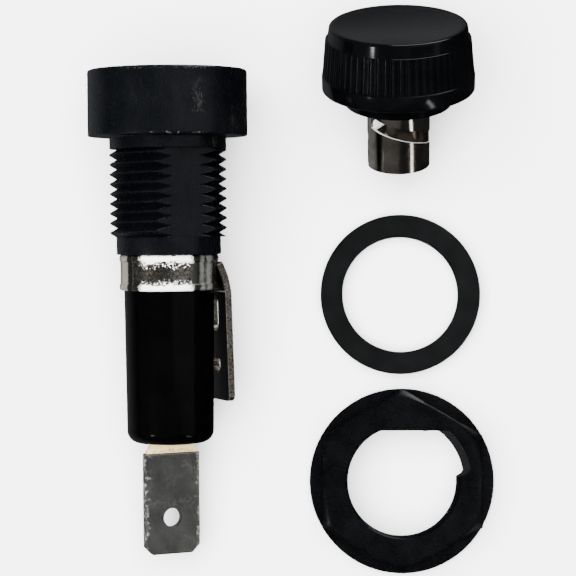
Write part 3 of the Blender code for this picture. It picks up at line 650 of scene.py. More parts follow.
END_TIN = Plating("end_tin", "tinned_blade", (0.47, 0.48, 0.455), (0.3, 0.305, 0.29), 0.42, 0.12, 0.55, 0.3, 0.75,
                  edge_half=3.175, bright=(0.7, 0.7, 0.66),
                  marks=(Mark((-2.6, -0.4, -40.0), 0.7, 0.4, (2.3, -0.4, -39.8)),
                         Mark((1.5, -0.4, -35.5), 0.7, 0.5, (2.6, -0.4, -36.8)),
                         Mark((-0.4, -0.4, -35.2), 1.2, 0.2, (0.2, -0.4, -38.2)),
                         Mark((1.3, -0.4, -43.6), 0.16, 0.5, (2.2, -0.4, -44.2))),
                  # Partly the root's cream colour, partly a painted highlight: a pale band over the bent root.
                  bands=(Band(-34.47, -33.2, (0.72, 0.54, 0.25), 0.1, 0.45, 0.03, 0.3),
                         Band(-34.5, -34.1, (0.3, 0.19, 0.07), 0.2, 0.5, 0.08, ragged=0.9, grit=0.5),
                         # Painted shade: a near-black line in the crease below the root.
                         Band(-34.62, -34.46, (0.02, 0.014, 0.01), 0.3, 0.5, 0.03),
                         # Painted shade: dark grit specks over the blade, for small dents.
                         Band(-46.0, -34.7, (0.1, 0.105, 0.095), 1.0, 0.5, grit=0.62)))
# The sleeve's upward-facing cut faces get a painted highlight.
CAP_NICKEL = Plating("cap_nickel", "nickel", (0.7, 0.66, 0.6), (0.3, 0.22, 0.16), 0.1, 0.05, 0.28,
                     scratch_depth=0.001, nick_depth=0.002, lit_cut_name="lit_cut_face")
SLEEVE_BRASS = Plating("drawn_brass", "sleeve_brass", (0.72, 0.58, 0.33), (0.4, 0.29, 0.15), 0.26, 0.14)
SEAT_BRASS = Plating("stamped_brass", "seat_brass", (0.74, 0.59, 0.32), (0.45, 0.33, 0.16), 0.32, 0.14,
                     run=Run.NONE)
CUP_BRASS = Plating("turned_brass", "cup_brass", (0.78, 0.66, 0.4), (0.5, 0.38, 0.2), 0.22, 0.12, run=Run.NONE)
WIRE_STEEL = Plating("spring_steel", "spring_wire", (0.56, 0.56, 0.55), (0.3, 0.29, 0.28), 0.28, 0.1)
RIVET_STEEL = Plating("rivet_steel", "rivet_steel", (0.6, 0.6, 0.58), (0.4, 0.39, 0.36), 0.3, 0.1, run=Run.NONE)

Finish = Moulding | Plating | Rubber


def arc(centre_r: float, centre_z: float, radius: float, start_deg: float, end_deg: float,
        pieces: int) -> list[Point]:
    """Points of an arc.

    Args:
        centre_r: Centre's distance from the axis.
        centre_z: Centre's height.
        radius: The arc's radius.
        start_deg: First angle, in degrees.
        end_deg: Last angle, in degrees.
        pieces: Number of straight pieces.

    Returns:
        The points from the first angle to the last.
    """
    points = []
    for i in range(pieces + 1):
        angle = math.radians(start_deg + (end_deg - start_deg) * i / pieces)
        points.append((centre_r + radius * math.cos(angle), centre_z + radius * math.sin(angle)))
    return points


def rounded(points: Sequence[Point], radius: float, pieces: int = 3, closed: bool = True) -> list[Point]:
    """Round the corners of an outline.

    Args:
        points: The outline's corners.
        radius: Radius of the rounding, made smaller on short sides.
        pieces: Straight pieces for each corner.
        closed: Whether the last point joins the first. An open outline keeps its two ends.

    Returns:
        The rounded outline.
    """
    result = []
    count = len(points)
    for i, point in enumerate(points):
        if not closed and i in (0, count - 1):
            result.append(point)
            continue
        here = Vector(point)
        before = Vector(points[i - 1]) - here
        after = Vector(points[(i + 1) % count]) - here
        angle = before.angle(after)
        if angle > math.radians(STRAIGHT_DEG):
            result.append(point)
            continue
        reach = min(radius / math.tan(angle / 2.0), SIDE_SHARE * before.length, SIDE_SHARE * after.length)
        start = here + before.normalized() * reach
        end = here + after.normalized() * reach
        for k in range(pieces + 1):
            t = k / pieces
            spot = start * (1 - t) ** 2 + here * 2 * t * (1 - t) + end * t ** 2
            result.append((spot.x, spot.y))
    return result


def still(r: float, z: float) -> Row:
    """A row that has the same radius and height all round."""
    return lambda theta: (r, z)


def stills(points: Sequence[Point]) -> list[Row]:
    """Rows for a list of (r, z) points."""
    return [still(r, z) for r, z in points]


def close_up(bm: BMesh) -> None:
    """Merge doubled points and turn the faces outwards.

    Args:
        bm: The mesh, changed in place.
    """
    bmesh.ops.remove_doubles(bm, verts=bm.verts[:], dist=MERGE)
    bmesh.ops.dissolve_degenerate(bm, edges=bm.edges[:], dist=MERGE)
    bmesh.ops.recalc_face_normals(bm, faces=bm.faces[:])


def stitch(bm: BMesh, grid: Sequence[Sequence[bmesh.types.BMVert]], closed: bool = True) -> None:
    """Join neighbouring columns of points with faces.

    Args:
        bm: The mesh that holds the points.
        grid: The columns, in order.
        closed: Whether each column's last point joins its first.
    """
    count = len(grid[0])
    for left, right in zip(grid, grid[1:]):
        for j in range(count if closed else count - 1):
            k = (j + 1) % count
            bm.faces.new((left[j], right[j], right[k], left[k]))


def in_order(bm: BMesh) -> BMesh:
    """Rebuild a mesh with its faces in the order of their points, because solidify orders them anew each run.

    Args:
        bm: The mesh. It is freed.

    Returns:
        The same mesh, in an order that stays.
    """
    bm.verts.index_update()
    rings = []
    for face in bm.faces:
        ring = [vertex.index for vertex in face.verts]
        first = ring.index(min(ring))
        rings.append(ring[first:] + ring[:first])
    settled = bmesh.new()
    points = [settled.verts.new(vertex.co) for vertex in bm.verts]
    for ring in sorted(rings):
        settled.faces.new([points[i] for i in ring])
    bm.free()
    settled.normal_update()
    return settled


def score(bm: BMesh, way: Triple, marks: Sequence[float]) -> None:
    """Cut a plate's faces where it is to be bent.

    Args:
        bm: The plate.
        way: The direction that the marks are measured along.
        marks: Distances of the cuts from the origin.
    """
    for mark in marks:
        everything = bm.verts[:] + bm.edges[:] + bm.faces[:]
        bmesh.ops.bisect_plane(bm, geom=everything, plane_co=Vector(way) * mark, plane_no=way, dist=ON_PLANE)


def add_object(name: str, data: bpy.types.ID) -> bpy.types.Object:
    """Make an object of its data and link it to the scene.

    Args:
        name: The object's name.
        data: Its mesh, curve, lamp or camera.

    Returns:
        The object.
    """
    item = bpy.data.objects.new(name, data)
    bpy.context.scene.collection.objects.link(item)
    return item


def result_of(item: bpy.types.Object) -> BMesh:
    """Take an object's evaluated mesh, and take the object with its modifiers out of the scene.

    Args:
        item: The object.

    Returns:
        The mesh.
    """
    graph = bpy.context.evaluated_depsgraph_get()
    mesh = bpy.data.meshes.new_from_object(item.evaluated_get(graph))
    item.modifiers.clear()
    bpy.data.objects.remove(item)
    bm = bmesh.new()
    bm.from_mesh(mesh)
    bpy.data.meshes.remove(mesh)
    return bm


def skin(rows: Sequence[Row], steps: int, closed: bool = True) -> BMesh:
    """Lay a skin over rows that each give (r, z) at an angle.

    Args:
        rows: The rows, in order along the section.
        steps: Number of columns round the axis.
        closed: Whether the last row joins the first.

    Returns:
        A mesh with its doubled points merged and its faces outwards.
    """
    bm = bmesh.new()
    grid = []
    for i in range(steps + 1):
        theta = FULL_TURN * i / steps
        spots = [row(theta) for row in rows]
        grid.append([bm.verts.new(around(r, theta, z)) for r, z in spots])
    stitch(bm, grid, closed)
    close_up(bm)
    return bm


def turned(profile: Sequence[Point], steps: int = 128, edge: float = 0.0, closed: bool = True) -> BMesh:
    """Turn a profile of (r, z) points about Z, with its corners rounded by an edge radius."""
    points = rounded(profile, edge, 3, closed) if edge > 0.0 else list(profile)
    return skin(stills(points), steps, closed)


def plate(outline: Sequence[Point], holes: Sequence[Sequence[Point]], thickness: float,
          edge: float) -> BMesh:
    """Cut a flat plate with holes and softened edges, lying in XY and centred on z = 0.

    Args:
        outline: The plate's outer corners.
        holes: Outlines of its holes.
        thickness: The plate's thickness.
        edge: Radius of the softened edges.

    Returns:
        The plate's mesh.
    """
    curve = bpy.data.curves.new("plate", "CURVE")
    curve.dimensions = "2D"
    curve.fill_mode = "BOTH"
    curve.extrude = thickness / 2.0 - edge
    curve.bevel_depth = edge
    curve.bevel_resolution = 3
    curve.offset = -edge
    for ring in (outline, *holes):
        spline = curve.splines.new("POLY")
        spline.points.add(len(ring) - 1)
        spline.use_cyclic_u = True
        for target, (x, y) in zip(spline.points, ring):
            target.co = (x, y, 0.0, 1.0)
    bm = result_of(add_object("plate", curve))
    bpy.data.curves.remove(curve)
    close_up(bm)
    return bm


def circle(x: float, y: float, radius: float, pieces: int = 40) -> list[Point]:
    """Points of a full circle."""
    return arc(x, y, radius, 0.0, 360.0 - 360.0 / pieces, pieces - 1)


def joined(*parts: BMesh) -> BMesh:
    """Gather several meshes into one and free the parts.

    Args:
        parts: The meshes.

    Returns:
        The whole mesh.
    """
    whole = bmesh.new()
    for part in parts:
        mesh = bpy.data.meshes.new("part")
        part.to_mesh(mesh)
        part.free()
        whole.from_mesh(mesh)
        bpy.data.meshes.remove(mesh)
    return whole


class Bench:
    """Turns meshes in a local frame, in millimetres, into finished pieces on the frame."""

    def __init__(self) -> None:
        """Start with no materials built."""
        self.materials: dict[str, Material] = {}

    def material(self, finish: Finish) -> Material:
        """Build a finish once and return its material.

        Args:
            finish: The finish.

        Returns:
            Its material.
        """
        if finish.name not in self.materials:
            self.materials[finish.name] = finish.build()
        return self.materials[finish.name]

    def finish_piece(self, name: str, bm: BMesh, place: Matrix, finish: Finish,
                     node: str, body: Body = Body.HOLDER, sharp_deg: float = 32.0) -> bpy.types.Object:
        """Place a mesh, dress it and put it on its body.

        Args:
            name: The piece's name.
            bm: Its mesh in the local frame, in millimetres.
            place: The local frame's matrix, in metres.
            finish: The finish that it gets.
            node: The CAD node that it stands for.
            body: The body that it rides on.
            sharp_deg: Edges steeper than this stay sharp.

        Returns:
            The finished piece.
        """
        mesh = bpy.data.meshes.new(name)
        bm.to_mesh(mesh)
        bm.free()
        own = mesh.attributes.new(OWN, "FLOAT_VECTOR", "POINT")
        for vertex, value in zip(mesh.vertices, own.data):
            value.vector = vertex.co
        mesh.transform(place @ Matrix.Scale(MM, 4))
        mesh.shade_smooth()
        mesh.set_sharp_from_angle(angle=math.radians(sharp_deg))
        mesh.materials.clear()
        mesh.materials.append(self.material(finish))
        piece = add_object(name, mesh)
        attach(piece, body.value)
        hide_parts(node)
        mesh.calc_loop_triangles()
        LOG.info("%s: %d triangles for %s", name, len(mesh.loop_triangles), node)
        return piece


class GrowTree:
    """A Geometry Nodes tree that is run on a mesh and leaves a plain mesh behind."""

    def __init__(self, name: str, sizes: dict[str, float]) -> None:
        """Make an empty tree.

        Args:
            name: The tree's name.
            sizes: Named inputs and the values that they get.
        """
        self.tree = bpy.data.node_groups.new(name, "GeometryNodeTree")
        self.sizes = sizes
        face = self.tree.interface
        face.new_socket("Geometry", in_out="INPUT", socket_type="NodeSocketGeometry")
        for key in sizes:
            face.new_socket(key, in_out="INPUT", socket_type="NodeSocketFloat")
        face.new_socket("Material", in_out="INPUT", socket_type="NodeSocketMaterial")
        face.new_socket("Geometry", in_out="OUTPUT", socket_type="NodeSocketGeometry")
        self.wiring = Wiring(self.tree)
        self.given = self.wiring.node("NodeGroupInput")

    def size(self, key: str) -> Socket:
        """The socket of a named input."""
        return self.given.outputs[key]

    def attribute(self, name: str) -> Socket:
        """The socket of a number stored on the mesh's points.

        Args:
            name: The attribute's name.

        Returns:
            The number's socket.
        """
        made = self.wiring.node("GeometryNodeInputNamedAttribute", data_type="FLOAT")
        made.inputs["Name"].default_value = name
        return next(socket for socket in made.outputs if socket.enabled)

    def vector(self, x: object, y: object, z: object) -> Socket:
        """The socket of a vector made of three values.

        Args:
            x: Value or socket.
            y: Value or socket.
            z: Value or socket.

        Returns:
            The vector's socket.
        """
        made = self.wiring.node("ShaderNodeCombineXYZ")
        for source, target in zip((x, y, z), made.inputs):
            self.wiring.join(source, target)
        return made.outputs[0]

    def around(self, angle: Socket, radius: Socket, z: object) -> Socket:
        """The socket of the point at an angle, a radius and a height."""
        w = self.wiring
        return self.vector(w.times(w.math("COSINE", angle), radius), w.times(w.math("SINE", angle), radius), z)

    def swept(self, line: Socket, section: Socket) -> Socket:
        """The socket of a section swept along a line, with its ends closed.

        Args:
            line: Socket of the curve to follow.
            section: Socket of the section's curve.

        Returns:
            The tube's socket.
        """
        made = self.wiring.node("GeometryNodeCurveToMesh")
        made.inputs["Fill Caps"].default_value = True
        self.wiring.join(line, made.inputs["Curve"])
        self.wiring.join(section, made.inputs["Profile Curve"])
        return made.outputs[0]

    def close(self, geometry: Socket) -> None:
        """End the tree with its instances realized and its material set.

        Args:
            geometry: Socket of the result.
        """
        real = self.wiring.node("GeometryNodeRealizeInstances")
        dressed = self.wiring.node("GeometryNodeSetMaterial")
        out = self.wiring.node("NodeGroupOutput")
        self.wiring.join(geometry, real.inputs[0])
        self.wiring.join(real.outputs[0], dressed.inputs["Geometry"])
        self.wiring.join(self.size("Material"), dressed.inputs["Material"])
        self.wiring.join(dressed.outputs[0], out.inputs[0])

    def run(self, bm: BMesh, material: Material) -> BMesh:
        """Run the tree on a mesh.

        Args:
            bm: The mesh that goes in. It is freed.
            material: The material that the tree sets.

        Returns:
            The result as a new mesh.
        """
        mesh = bpy.data.meshes.new("seed")
        bm.to_mesh(mesh)
        bm.free()
        item = add_object("seed", mesh)
        modifier = item.modifiers.new("grow", "NODES")
        modifier.node_group = self.tree
        for socket in self.tree.interface.items_tree:
            if socket.in_out == "INPUT" and socket.name in self.sizes:
                modifier[socket.identifier] = float(self.sizes[socket.name])
            elif socket.in_out == "INPUT" and socket.name == "Material":
                modifier[socket.identifier] = material
        return result_of(item)


@dataclass
class ScrewThread:
    """A right-hand thread of V form, cut flat at both ends, that a tree lays on prepared rows."""

    top_z: float
    length: float
    root_r: float
    height: float
    flat_r: float
    start: float = 0.0
    pitch: float = 25.4 / 24.0
    crest: float = 1.0 / 7.0
    rows_per_turn: int = 14

    def turns(self) -> int:
        """Number of turns that the rows cover, with one more for the thread's rise over a turn."""
        return math.ceil(self.length / self.pitch + self.start) + 1

    def row_count(self) -> int:
        """Number of rows that the thread takes."""
        return self.turns() * self.rows_per_turn + 1

    def tree(self) -> GrowTree:
        """Build the tree that moves each prepared point onto the thread.

        Returns:
            The tree, with inputs for the thread's sizes.
        """
        sizes = {"Top": self.top_z, "Length": self.length, "Root Radius": self.root_r, "Height": self.height,
                 "Flat Distance": self.flat_r, "Pitch": self.pitch, "Crest Share": self.crest,
                 "Start Share": self.start}
        grow = GrowTree("screw_thread", sizes)
        w = grow.wiring
        theta = grow.attribute("thread_angle")
        turn = grow.attribute("thread_turn")
        share = w.plus(w.math("DIVIDE", theta, FULL_TURN), grow.size("Start Share"))
        lift = w.times(share, grow.size("Pitch"))
        raised = w.plus(grow.size("Top"), lift)
        free_z = w.minus(raised, w.times(turn, grow.size("Pitch")))
        lowest = w.minus(grow.size("Top"), grow.size("Length"))
        z = w.math("MINIMUM", w.math("MAXIMUM", free_z, lowest), grow.size("Top"))
        phase = w.math("FRACT", w.math("DIVIDE", w.minus(raised, z), grow.size("Pitch")))
        off_crest = w.math("ABSOLUTE", w.minus(phase, 0.5))
        half_crest = w.times(grow.size("Crest Share"), 0.5)
        down = w.math("MAXIMUM", w.minus(off_crest, half_crest), 0.0)
        flank = w.minus(1.0, w.math("DIVIDE", down, w.minus(0.5, half_crest)))
        thread_r = w.math("MULTIPLY_ADD", grow.size("Height"), flank, grow.size("Root Radius"))
        across = w.math("MAXIMUM", w.math("ABSOLUTE", w.math("SINE", theta)), TINY)
        radius = w.math("MINIMUM", thread_r, w.math("DIVIDE", grow.size("Flat Distance"), across))
        place = grow.around(theta, radius, z)
        moved = w.node("GeometryNodeSetPosition")
        w.join(grow.size("Geometry"), moved.inputs["Geometry"])
        w.join(w.math("GREATER_THAN", turn, PLAIN_ROW / 2.0), moved.inputs["Selection"])
        w.join(place, moved.inputs["Position"])
        grow.close(moved.outputs[0])
        return grow

    def lay(self, above: Sequence[Row], below: Sequence[Row], steps: int,
            material: Material) -> BMesh:
        """Make a closed skin with the thread between two runs of plain rows.

        Args:
            above: Rows that come before the thread's top.
            below: Rows that come after its lower end.
            steps: Columns round the axis.
            material: The material that the tree sets.

        Returns:
            The closed skin.
        """
        bm = bmesh.new()
        turn_layer = bm.verts.layers.float.new("thread_turn")
        angle_layer = bm.verts.layers.float.new("thread_angle")
        grid = []
        for i in range(steps + 1):
            theta = FULL_TURN * i / steps
            column = []
            spots = [(*row(theta), PLAIN_ROW) for row in above]
            spots += [(self.root_r, self.top_z, j / self.rows_per_turn) for j in range(self.row_count())]
            spots += [(*row(theta), PLAIN_ROW) for row in below]
            for r, z, turn in spots:
                vertex = bm.verts.new(around(r, theta, z))
                vertex[turn_layer] = turn
                vertex[angle_layer] = theta
                column.append(vertex)
            grid.append(column)
        stitch(bm, grid)
        grown = self.tree().run(bm, material)
        close_up(grown)
        return grown


@dataclass
class Housing:
    """The black moulding that the panel grips: flange, collar, thread with two flats, and neck."""

    flange_r: float = 8.675
    flange_h: float = 7.2
    top_edge: float = 0.3
    under_edge: float = 0.2
    mouth_r: float = 6.025
    mouth_floor_z: float = 5.35
    thread_r: float = 6.35
    thread_depth: float = 0.78
    thread_start: float = 0.45
    flat_r: float = 5.35
    collar_h: float = 1.35
    thread_l: float = 9.55
    neck_r: float = 5.675
    neck_h: float = 1.9
    bore_r: float = 4.0
    recess_r: float = 4.55
    recess_depth: float = 0.28
    mouth_step: float = 0.3
    mouth_edge: float = 0.25
    side_top: float = 1.2
    side_end: float = 1.0
    collar_lead: float = 0.1
    thread_lead: float = 0.06
    neck_edge: float = 0.12
    steps: int = 144

    @property
    def thread_end_z(self) -> float:
        """Height of the thread's lower end."""
        return -self.collar_h - self.thread_l

    @property
    def neck_end_z(self) -> float:
        """Height of the neck's lower end."""
        return self.thread_end_z - self.neck_h

    def build(self, material: Material) -> BMesh:
        """Build the moulding.

        Args:
            material: Material that the thread's tree sets.

        Returns:
            The closed mesh.
        """
        recess_z = self.mouth_floor_z - self.recess_depth
        thread = ScrewThread(-self.collar_h, self.thread_l, self.thread_r - self.thread_depth, self.thread_depth,
                             self.flat_r, self.thread_start)
        inner = [(self.bore_r, self.neck_end_z), (self.bore_r, recess_z), (self.recess_r, recess_z),
                 (self.recess_r, self.mouth_floor_z), (self.mouth_r, self.mouth_floor_z)]
        above = stills(rounded([(self.mouth_r, self.mouth_floor_z + self.mouth_step), (self.mouth_r, self.flange_h),
                                (self.flange_r - self.top_edge, self.flange_h)], self.mouth_edge, 4, closed=False))
        above += stills(arc(self.flange_r - self.top_edge, self.flange_h - self.top_edge, self.top_edge, 90, 0, 8))
        above += stills([(self.flange_r, self.flange_h - self.side_top), (self.flange_r, self.side_end)])
        above += stills(arc(self.flange_r - self.under_edge, self.under_edge, self.under_edge, 0, -90, 5))
        above += stills([(self.thread_r + self.collar_lead, 0.0), (self.thread_r, -self.collar_lead),
                         (self.thread_r, self.thread_lead - self.collar_h),
                         (self.thread_r - self.thread_lead, -self.collar_h)])
        below = stills(rounded([(self.neck_r, self.thread_end_z), (self.neck_r, self.neck_end_z)] + inner,
                               self.neck_edge, 3, closed=False))
        return thread.lay(above, below, self.steps, material)

    def dress(self, bench: Bench, place: Matrix) -> None:
        """Build the moulding and finish it."""
        shell = self.build(bench.material(SATIN))
        bench.finish_piece("housing_shell", shell, place, SATIN, "housing")


@dataclass
class SideTerminal:
    """One folded sheet: a beaded ring, an arm that slants out of it and a blade that hangs beside the barrel."""

    top_z: float = -12.83
    ring_h: float = 3.84
    ring_r: float = 5.4
    wall: float = 0.6
    bead: float = 0.12
    bead_h: float = 0.62
    bead_fall: float = 0.16
    bead_from: float = 0.42
    bead_lean: float = 0.02
    rim_r: float = 0.22
    rim_in: float = 0.12
    top_in: float = 0.2
    lip_r: float = 4.0
    blade_w: float = 6.35
    thickness: float = 0.8
    arm_top_r: float = 5.0
    arm_top_drop: float = 0.75
    bend_r: float = 6.05
    bend_drop: float = 4.1
    tip_r: float = 6.4
    tip_drop: float = 16.05
    bend: float = 3.0
    corner: float = 0.45
    corner_r: float = 0.35
    slot_w: float = 2.0
    slot_l: float = 3.9
    slot_drop: float = 6.6
    hole_r: float = 1.025
    hole_from_tip: float = 4.0
    edge: float = 0.09

    def ring(self) -> BMesh:
        """Build the ring, with its lip and the two beads along its edges.

        Returns:
            The closed mesh.
        """
        end_z = self.top_z - self.ring_h
        inner_r = self.ring_r - self.wall
        waist_r = self.ring_r - self.bead
        lip_z = self.top_z - self.wall
        lean_r = self.ring_r - self.bead_lean
        rim_at = waist_r - self.rim_in
        outside = [(self.lip_r, self.top_z), (waist_r - self.top_in, self.top_z)]
        outside += arc(rim_at, self.top_z - self.rim_r, self.rim_r, 80, 8, 8)
        outside += [(self.ring_r, self.top_z - self.bead_from), (lean_r, self.top_z - self.bead_h),
                    (waist_r, self.top_z - self.bead_h - self.bead_fall),
                    (waist_r, end_z + self.bead_h + self.bead_fall),
                    (lean_r, end_z + self.bead_h), (self.ring_r, end_z + self.bead_from)]
        outside += arc(rim_at, end_z + self.rim_r, self.rim_r, -8, -80, 8)
        inside = [(inner_r, end_z), (inner_r, lip_z), (self.lip_r, lip_z)]
        return skin(stills(outside + inside), 128)

    def path(self) -> list[Point]:
        """Outer face of the strip in side view, from the ring down to the tip, with its bends rounded.

        Returns:
            Points (radius, height).
        """
        bulge_r = (self.arm_top_r + 2.0 * self.bend_r) / 3.0
        bulge_drop = (self.arm_top_drop + self.bend_drop) / 2.0
        corners = [(self.arm_top_r, self.top_z - self.arm_top_drop), (bulge_r, self.top_z - bulge_drop),
                   (self.bend_r, self.top_z - self.bend_drop), (self.tip_r, self.top_z - self.tip_drop)]
        return rounded(corners, self.bend, 6, closed=False)

    def strip(self) -> BMesh:
        """Build the arm and blade flat, cut where they bend, and fold them along the path.

        Returns:
            The folded strip, with its width along Y.
        """
        path = [Vector(point) for point in self.path()]
        marks = [0.0]
        for first, second in zip(path, path[1:]):
            marks.append(marks[-1] + (second - first).length)
        length = marks[-1]
        half = self.blade_w / 2.0
        per_drop = length / (self.tip_drop - self.arm_top_drop)
        slot_at = (self.slot_drop - self.arm_top_drop) * per_drop
        radius = self.slot_w / 2.0
        reach = self.slot_l / 2.0 - radius
        outline = rounded([(0.0, -half), (length - self.corner, -half), (length, self.corner - half),
                           (length, half - self.corner), (length - self.corner, half), (0.0, half)],
                          self.corner_r, 4)
        slot = arc(slot_at - reach, 0.0, radius, 90, 270, 20) + arc(slot_at + reach, 0.0, radius, -90, 90, 20)
        hole = circle(length - self.hole_from_tip, 0.0, self.hole_r)
        bm = plate(outline, [slot, hole], self.thickness, self.edge)
        score(bm, (1.0, 0.0, 0.0), marks[1:-1])
        for vertex in bm.verts:
            vertex.co = self.folded(vertex.co, path, marks)
        bmesh.ops.recalc_face_normals(bm, faces=bm.faces[:])
        return bm

    def folded(self, flat: Vector, path: Sequence[Vector], marks: Sequence[float]) -> Vector:
        """Move one point of the flat strip onto the path.

        Args:
            flat: The point: x along the strip, y across it, z through its thickness.
            path: Points (radius, height) of the strip's outer face.
            marks: Length along the path at each of its points.

        Returns:
            The point in the holder's frame.
        """
        i = max(k for k in range(len(marks) - 1) if marks[k] <= max(flat.x, 0.0) + TINY)
        way = (path[i + 1] - path[i]).normalized()
        before = (path[i] - path[i - 1]).normalized() if i > 0 else way
        near_joint = abs(flat.x - marks[i]) < MERGE
        heading = (way + before).normalized() if near_joint else way
        outward = Vector((-heading.y, heading.x))
        depth = self.thickness / 2.0 - flat.z
        spot = path[i] + way * (flat.x - marks[i]) - outward * depth
        return Vector((spot.x, flat.y, spot.y))

    def build(self) -> BMesh:
        """Build the whole terminal."""
        return joined(self.ring(), self.strip())

    def dress(self, bench: Bench, place: Matrix) -> None:
        """Build the terminal and finish it."""
        bench.finish_piece("ring_terminal", self.build(), place, SIDE_TIN, "side_terminal", sharp_deg=11.0)


@dataclass
class Barrel:
    """The glossy lower moulding, slightly tapered, with a spigot inside the ring and a whole floor.

    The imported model's floor has a slot for the end blade's strip. Here the strip runs through the floor.
    """

    top_z: float = -16.7
    top_r: float = 4.9
    end_r: float = 4.725
    length: float = 16.6
    corner: float = 1.3
    floor: float = 1.0
    bore_r: float = 4.0
    spigot_r: float = 4.75
    spigot_z: float = -13.46
    taper_in: float = 0.01
    taper_at: float = 1.0
    edge: float = 0.1

    @property
    def end_z(self) -> float:
        """Height of the barrel's lower end."""
        return self.top_z - self.length

    def build(self) -> BMesh:
        """Build the barrel as one turned skin, open at the top.

        Returns:
            The closed mesh.
        """
        floor_z = self.end_z + self.floor
        inner = rounded([(0.0, floor_z), (self.bore_r, floor_z), (self.bore_r, self.spigot_z),
                         (self.spigot_r, self.spigot_z), (self.spigot_r, self.top_z), (self.top_r, self.top_z),
                         (self.top_r - self.taper_in, self.top_z - self.taper_at)], self.edge, 3, closed=False)
        corner = arc(self.end_r - self.corner, self.end_z + self.corner, self.corner, 0, -90, 16)
        return skin(stills(inner + corner + [(0.0, self.end_z)]), 144, closed=False)

    def dress(self, bench: Bench, place: Matrix) -> None:
        """Build the barrel and finish it."""
        bench.finish_piece("barrel_shell", self.build(), place, GLOSS, "barrel")


@dataclass
class EndTerminal:
    """Blade below the barrel: one strip that passes through the floor and is folded over inside."""

    root_z: float = -33.33
    root_top_w: float = 4.7
    root_end_w: float = 6.0
    root_h: float = 1.15
    blade_w: float = 6.35
    blade_l: float = 11.1
    thickness: float = 0.8
    strip_t: float = 0.5
    strip_w: float = 4.2
    chamfer: float = 0.9
    corner_r: float = 0.22
    shoulder_h: float = 0.05
    second_cut: float = 0.18
    hole_r: float = 1.025
    hole_from_tip: float = 4.0
    edge: float = 0.08
    strip_top_z: float = -31.94
    strip_edge: float = 0.05
    tongue: float = 2.4

    def build(self) -> BMesh:
        """Build the blade with its sloping root, and the strip inside.

        Returns:
            The terminal's mesh.
        """
        top = -self.root_z
        shoulder = top + self.root_h
        tip = shoulder + self.blade_l
        half = self.blade_w / 2.0
        right = [(self.root_top_w / 2.0, top), (self.root_end_w / 2.0, shoulder), (half, shoulder + self.shoulder_h),
                 (half, tip - self.chamfer), (half - self.chamfer, tip)]
        outline = rounded(right + [(-x, z) for x, z in reversed(right)], self.corner_r, 3)
        bm = plate(outline, [circle(0.0, tip - self.hole_from_tip, self.hole_r)], self.thickness, self.edge)
        score(bm, (0.0, 1.0, 0.0), (shoulder, shoulder + self.second_cut))
        thin = self.strip_t / self.thickness
        for vertex in bm.verts:
            x, down, out = vertex.co
            share = min(max((shoulder - down) / self.root_h, 0.0), 1.0)
            vertex.co = (x, -out * (1.0 - (1.0 - thin) * share), -down)
        close_up(bm)
        return joined(bm, self.strip())

    def strip(self) -> BMesh:
        """Build the strip through the floor, with its tongue folded over the spring's seat.

        Returns:
            The strip's mesh.
        """
        half = self.strip_t / 2.0
        side = [(half, self.root_z - self.root_h / 2.0), (half, self.strip_top_z), (self.tongue, self.strip_top_z),
                (self.tongue, self.strip_top_z + self.strip_t)]
        side += arc(half, self.strip_top_z, self.strip_t, 90, 180, 6)[1:]
        side += [(-half, self.root_z - self.root_h / 2.0)]
        bm = plate(side, [], self.strip_w, self.strip_edge)
        for vertex in bm.verts:
            y, z, across = vertex.co
            vertex.co = (across, y, z)
        close_up(bm)
        return bm

    def dress(self, bench: Bench, place: Matrix) -> None:
        """Build the terminal and finish it."""
        bench.finish_piece("blade_terminal", self.build(), place, END_TIN, "end_terminal", sharp_deg=11.0)


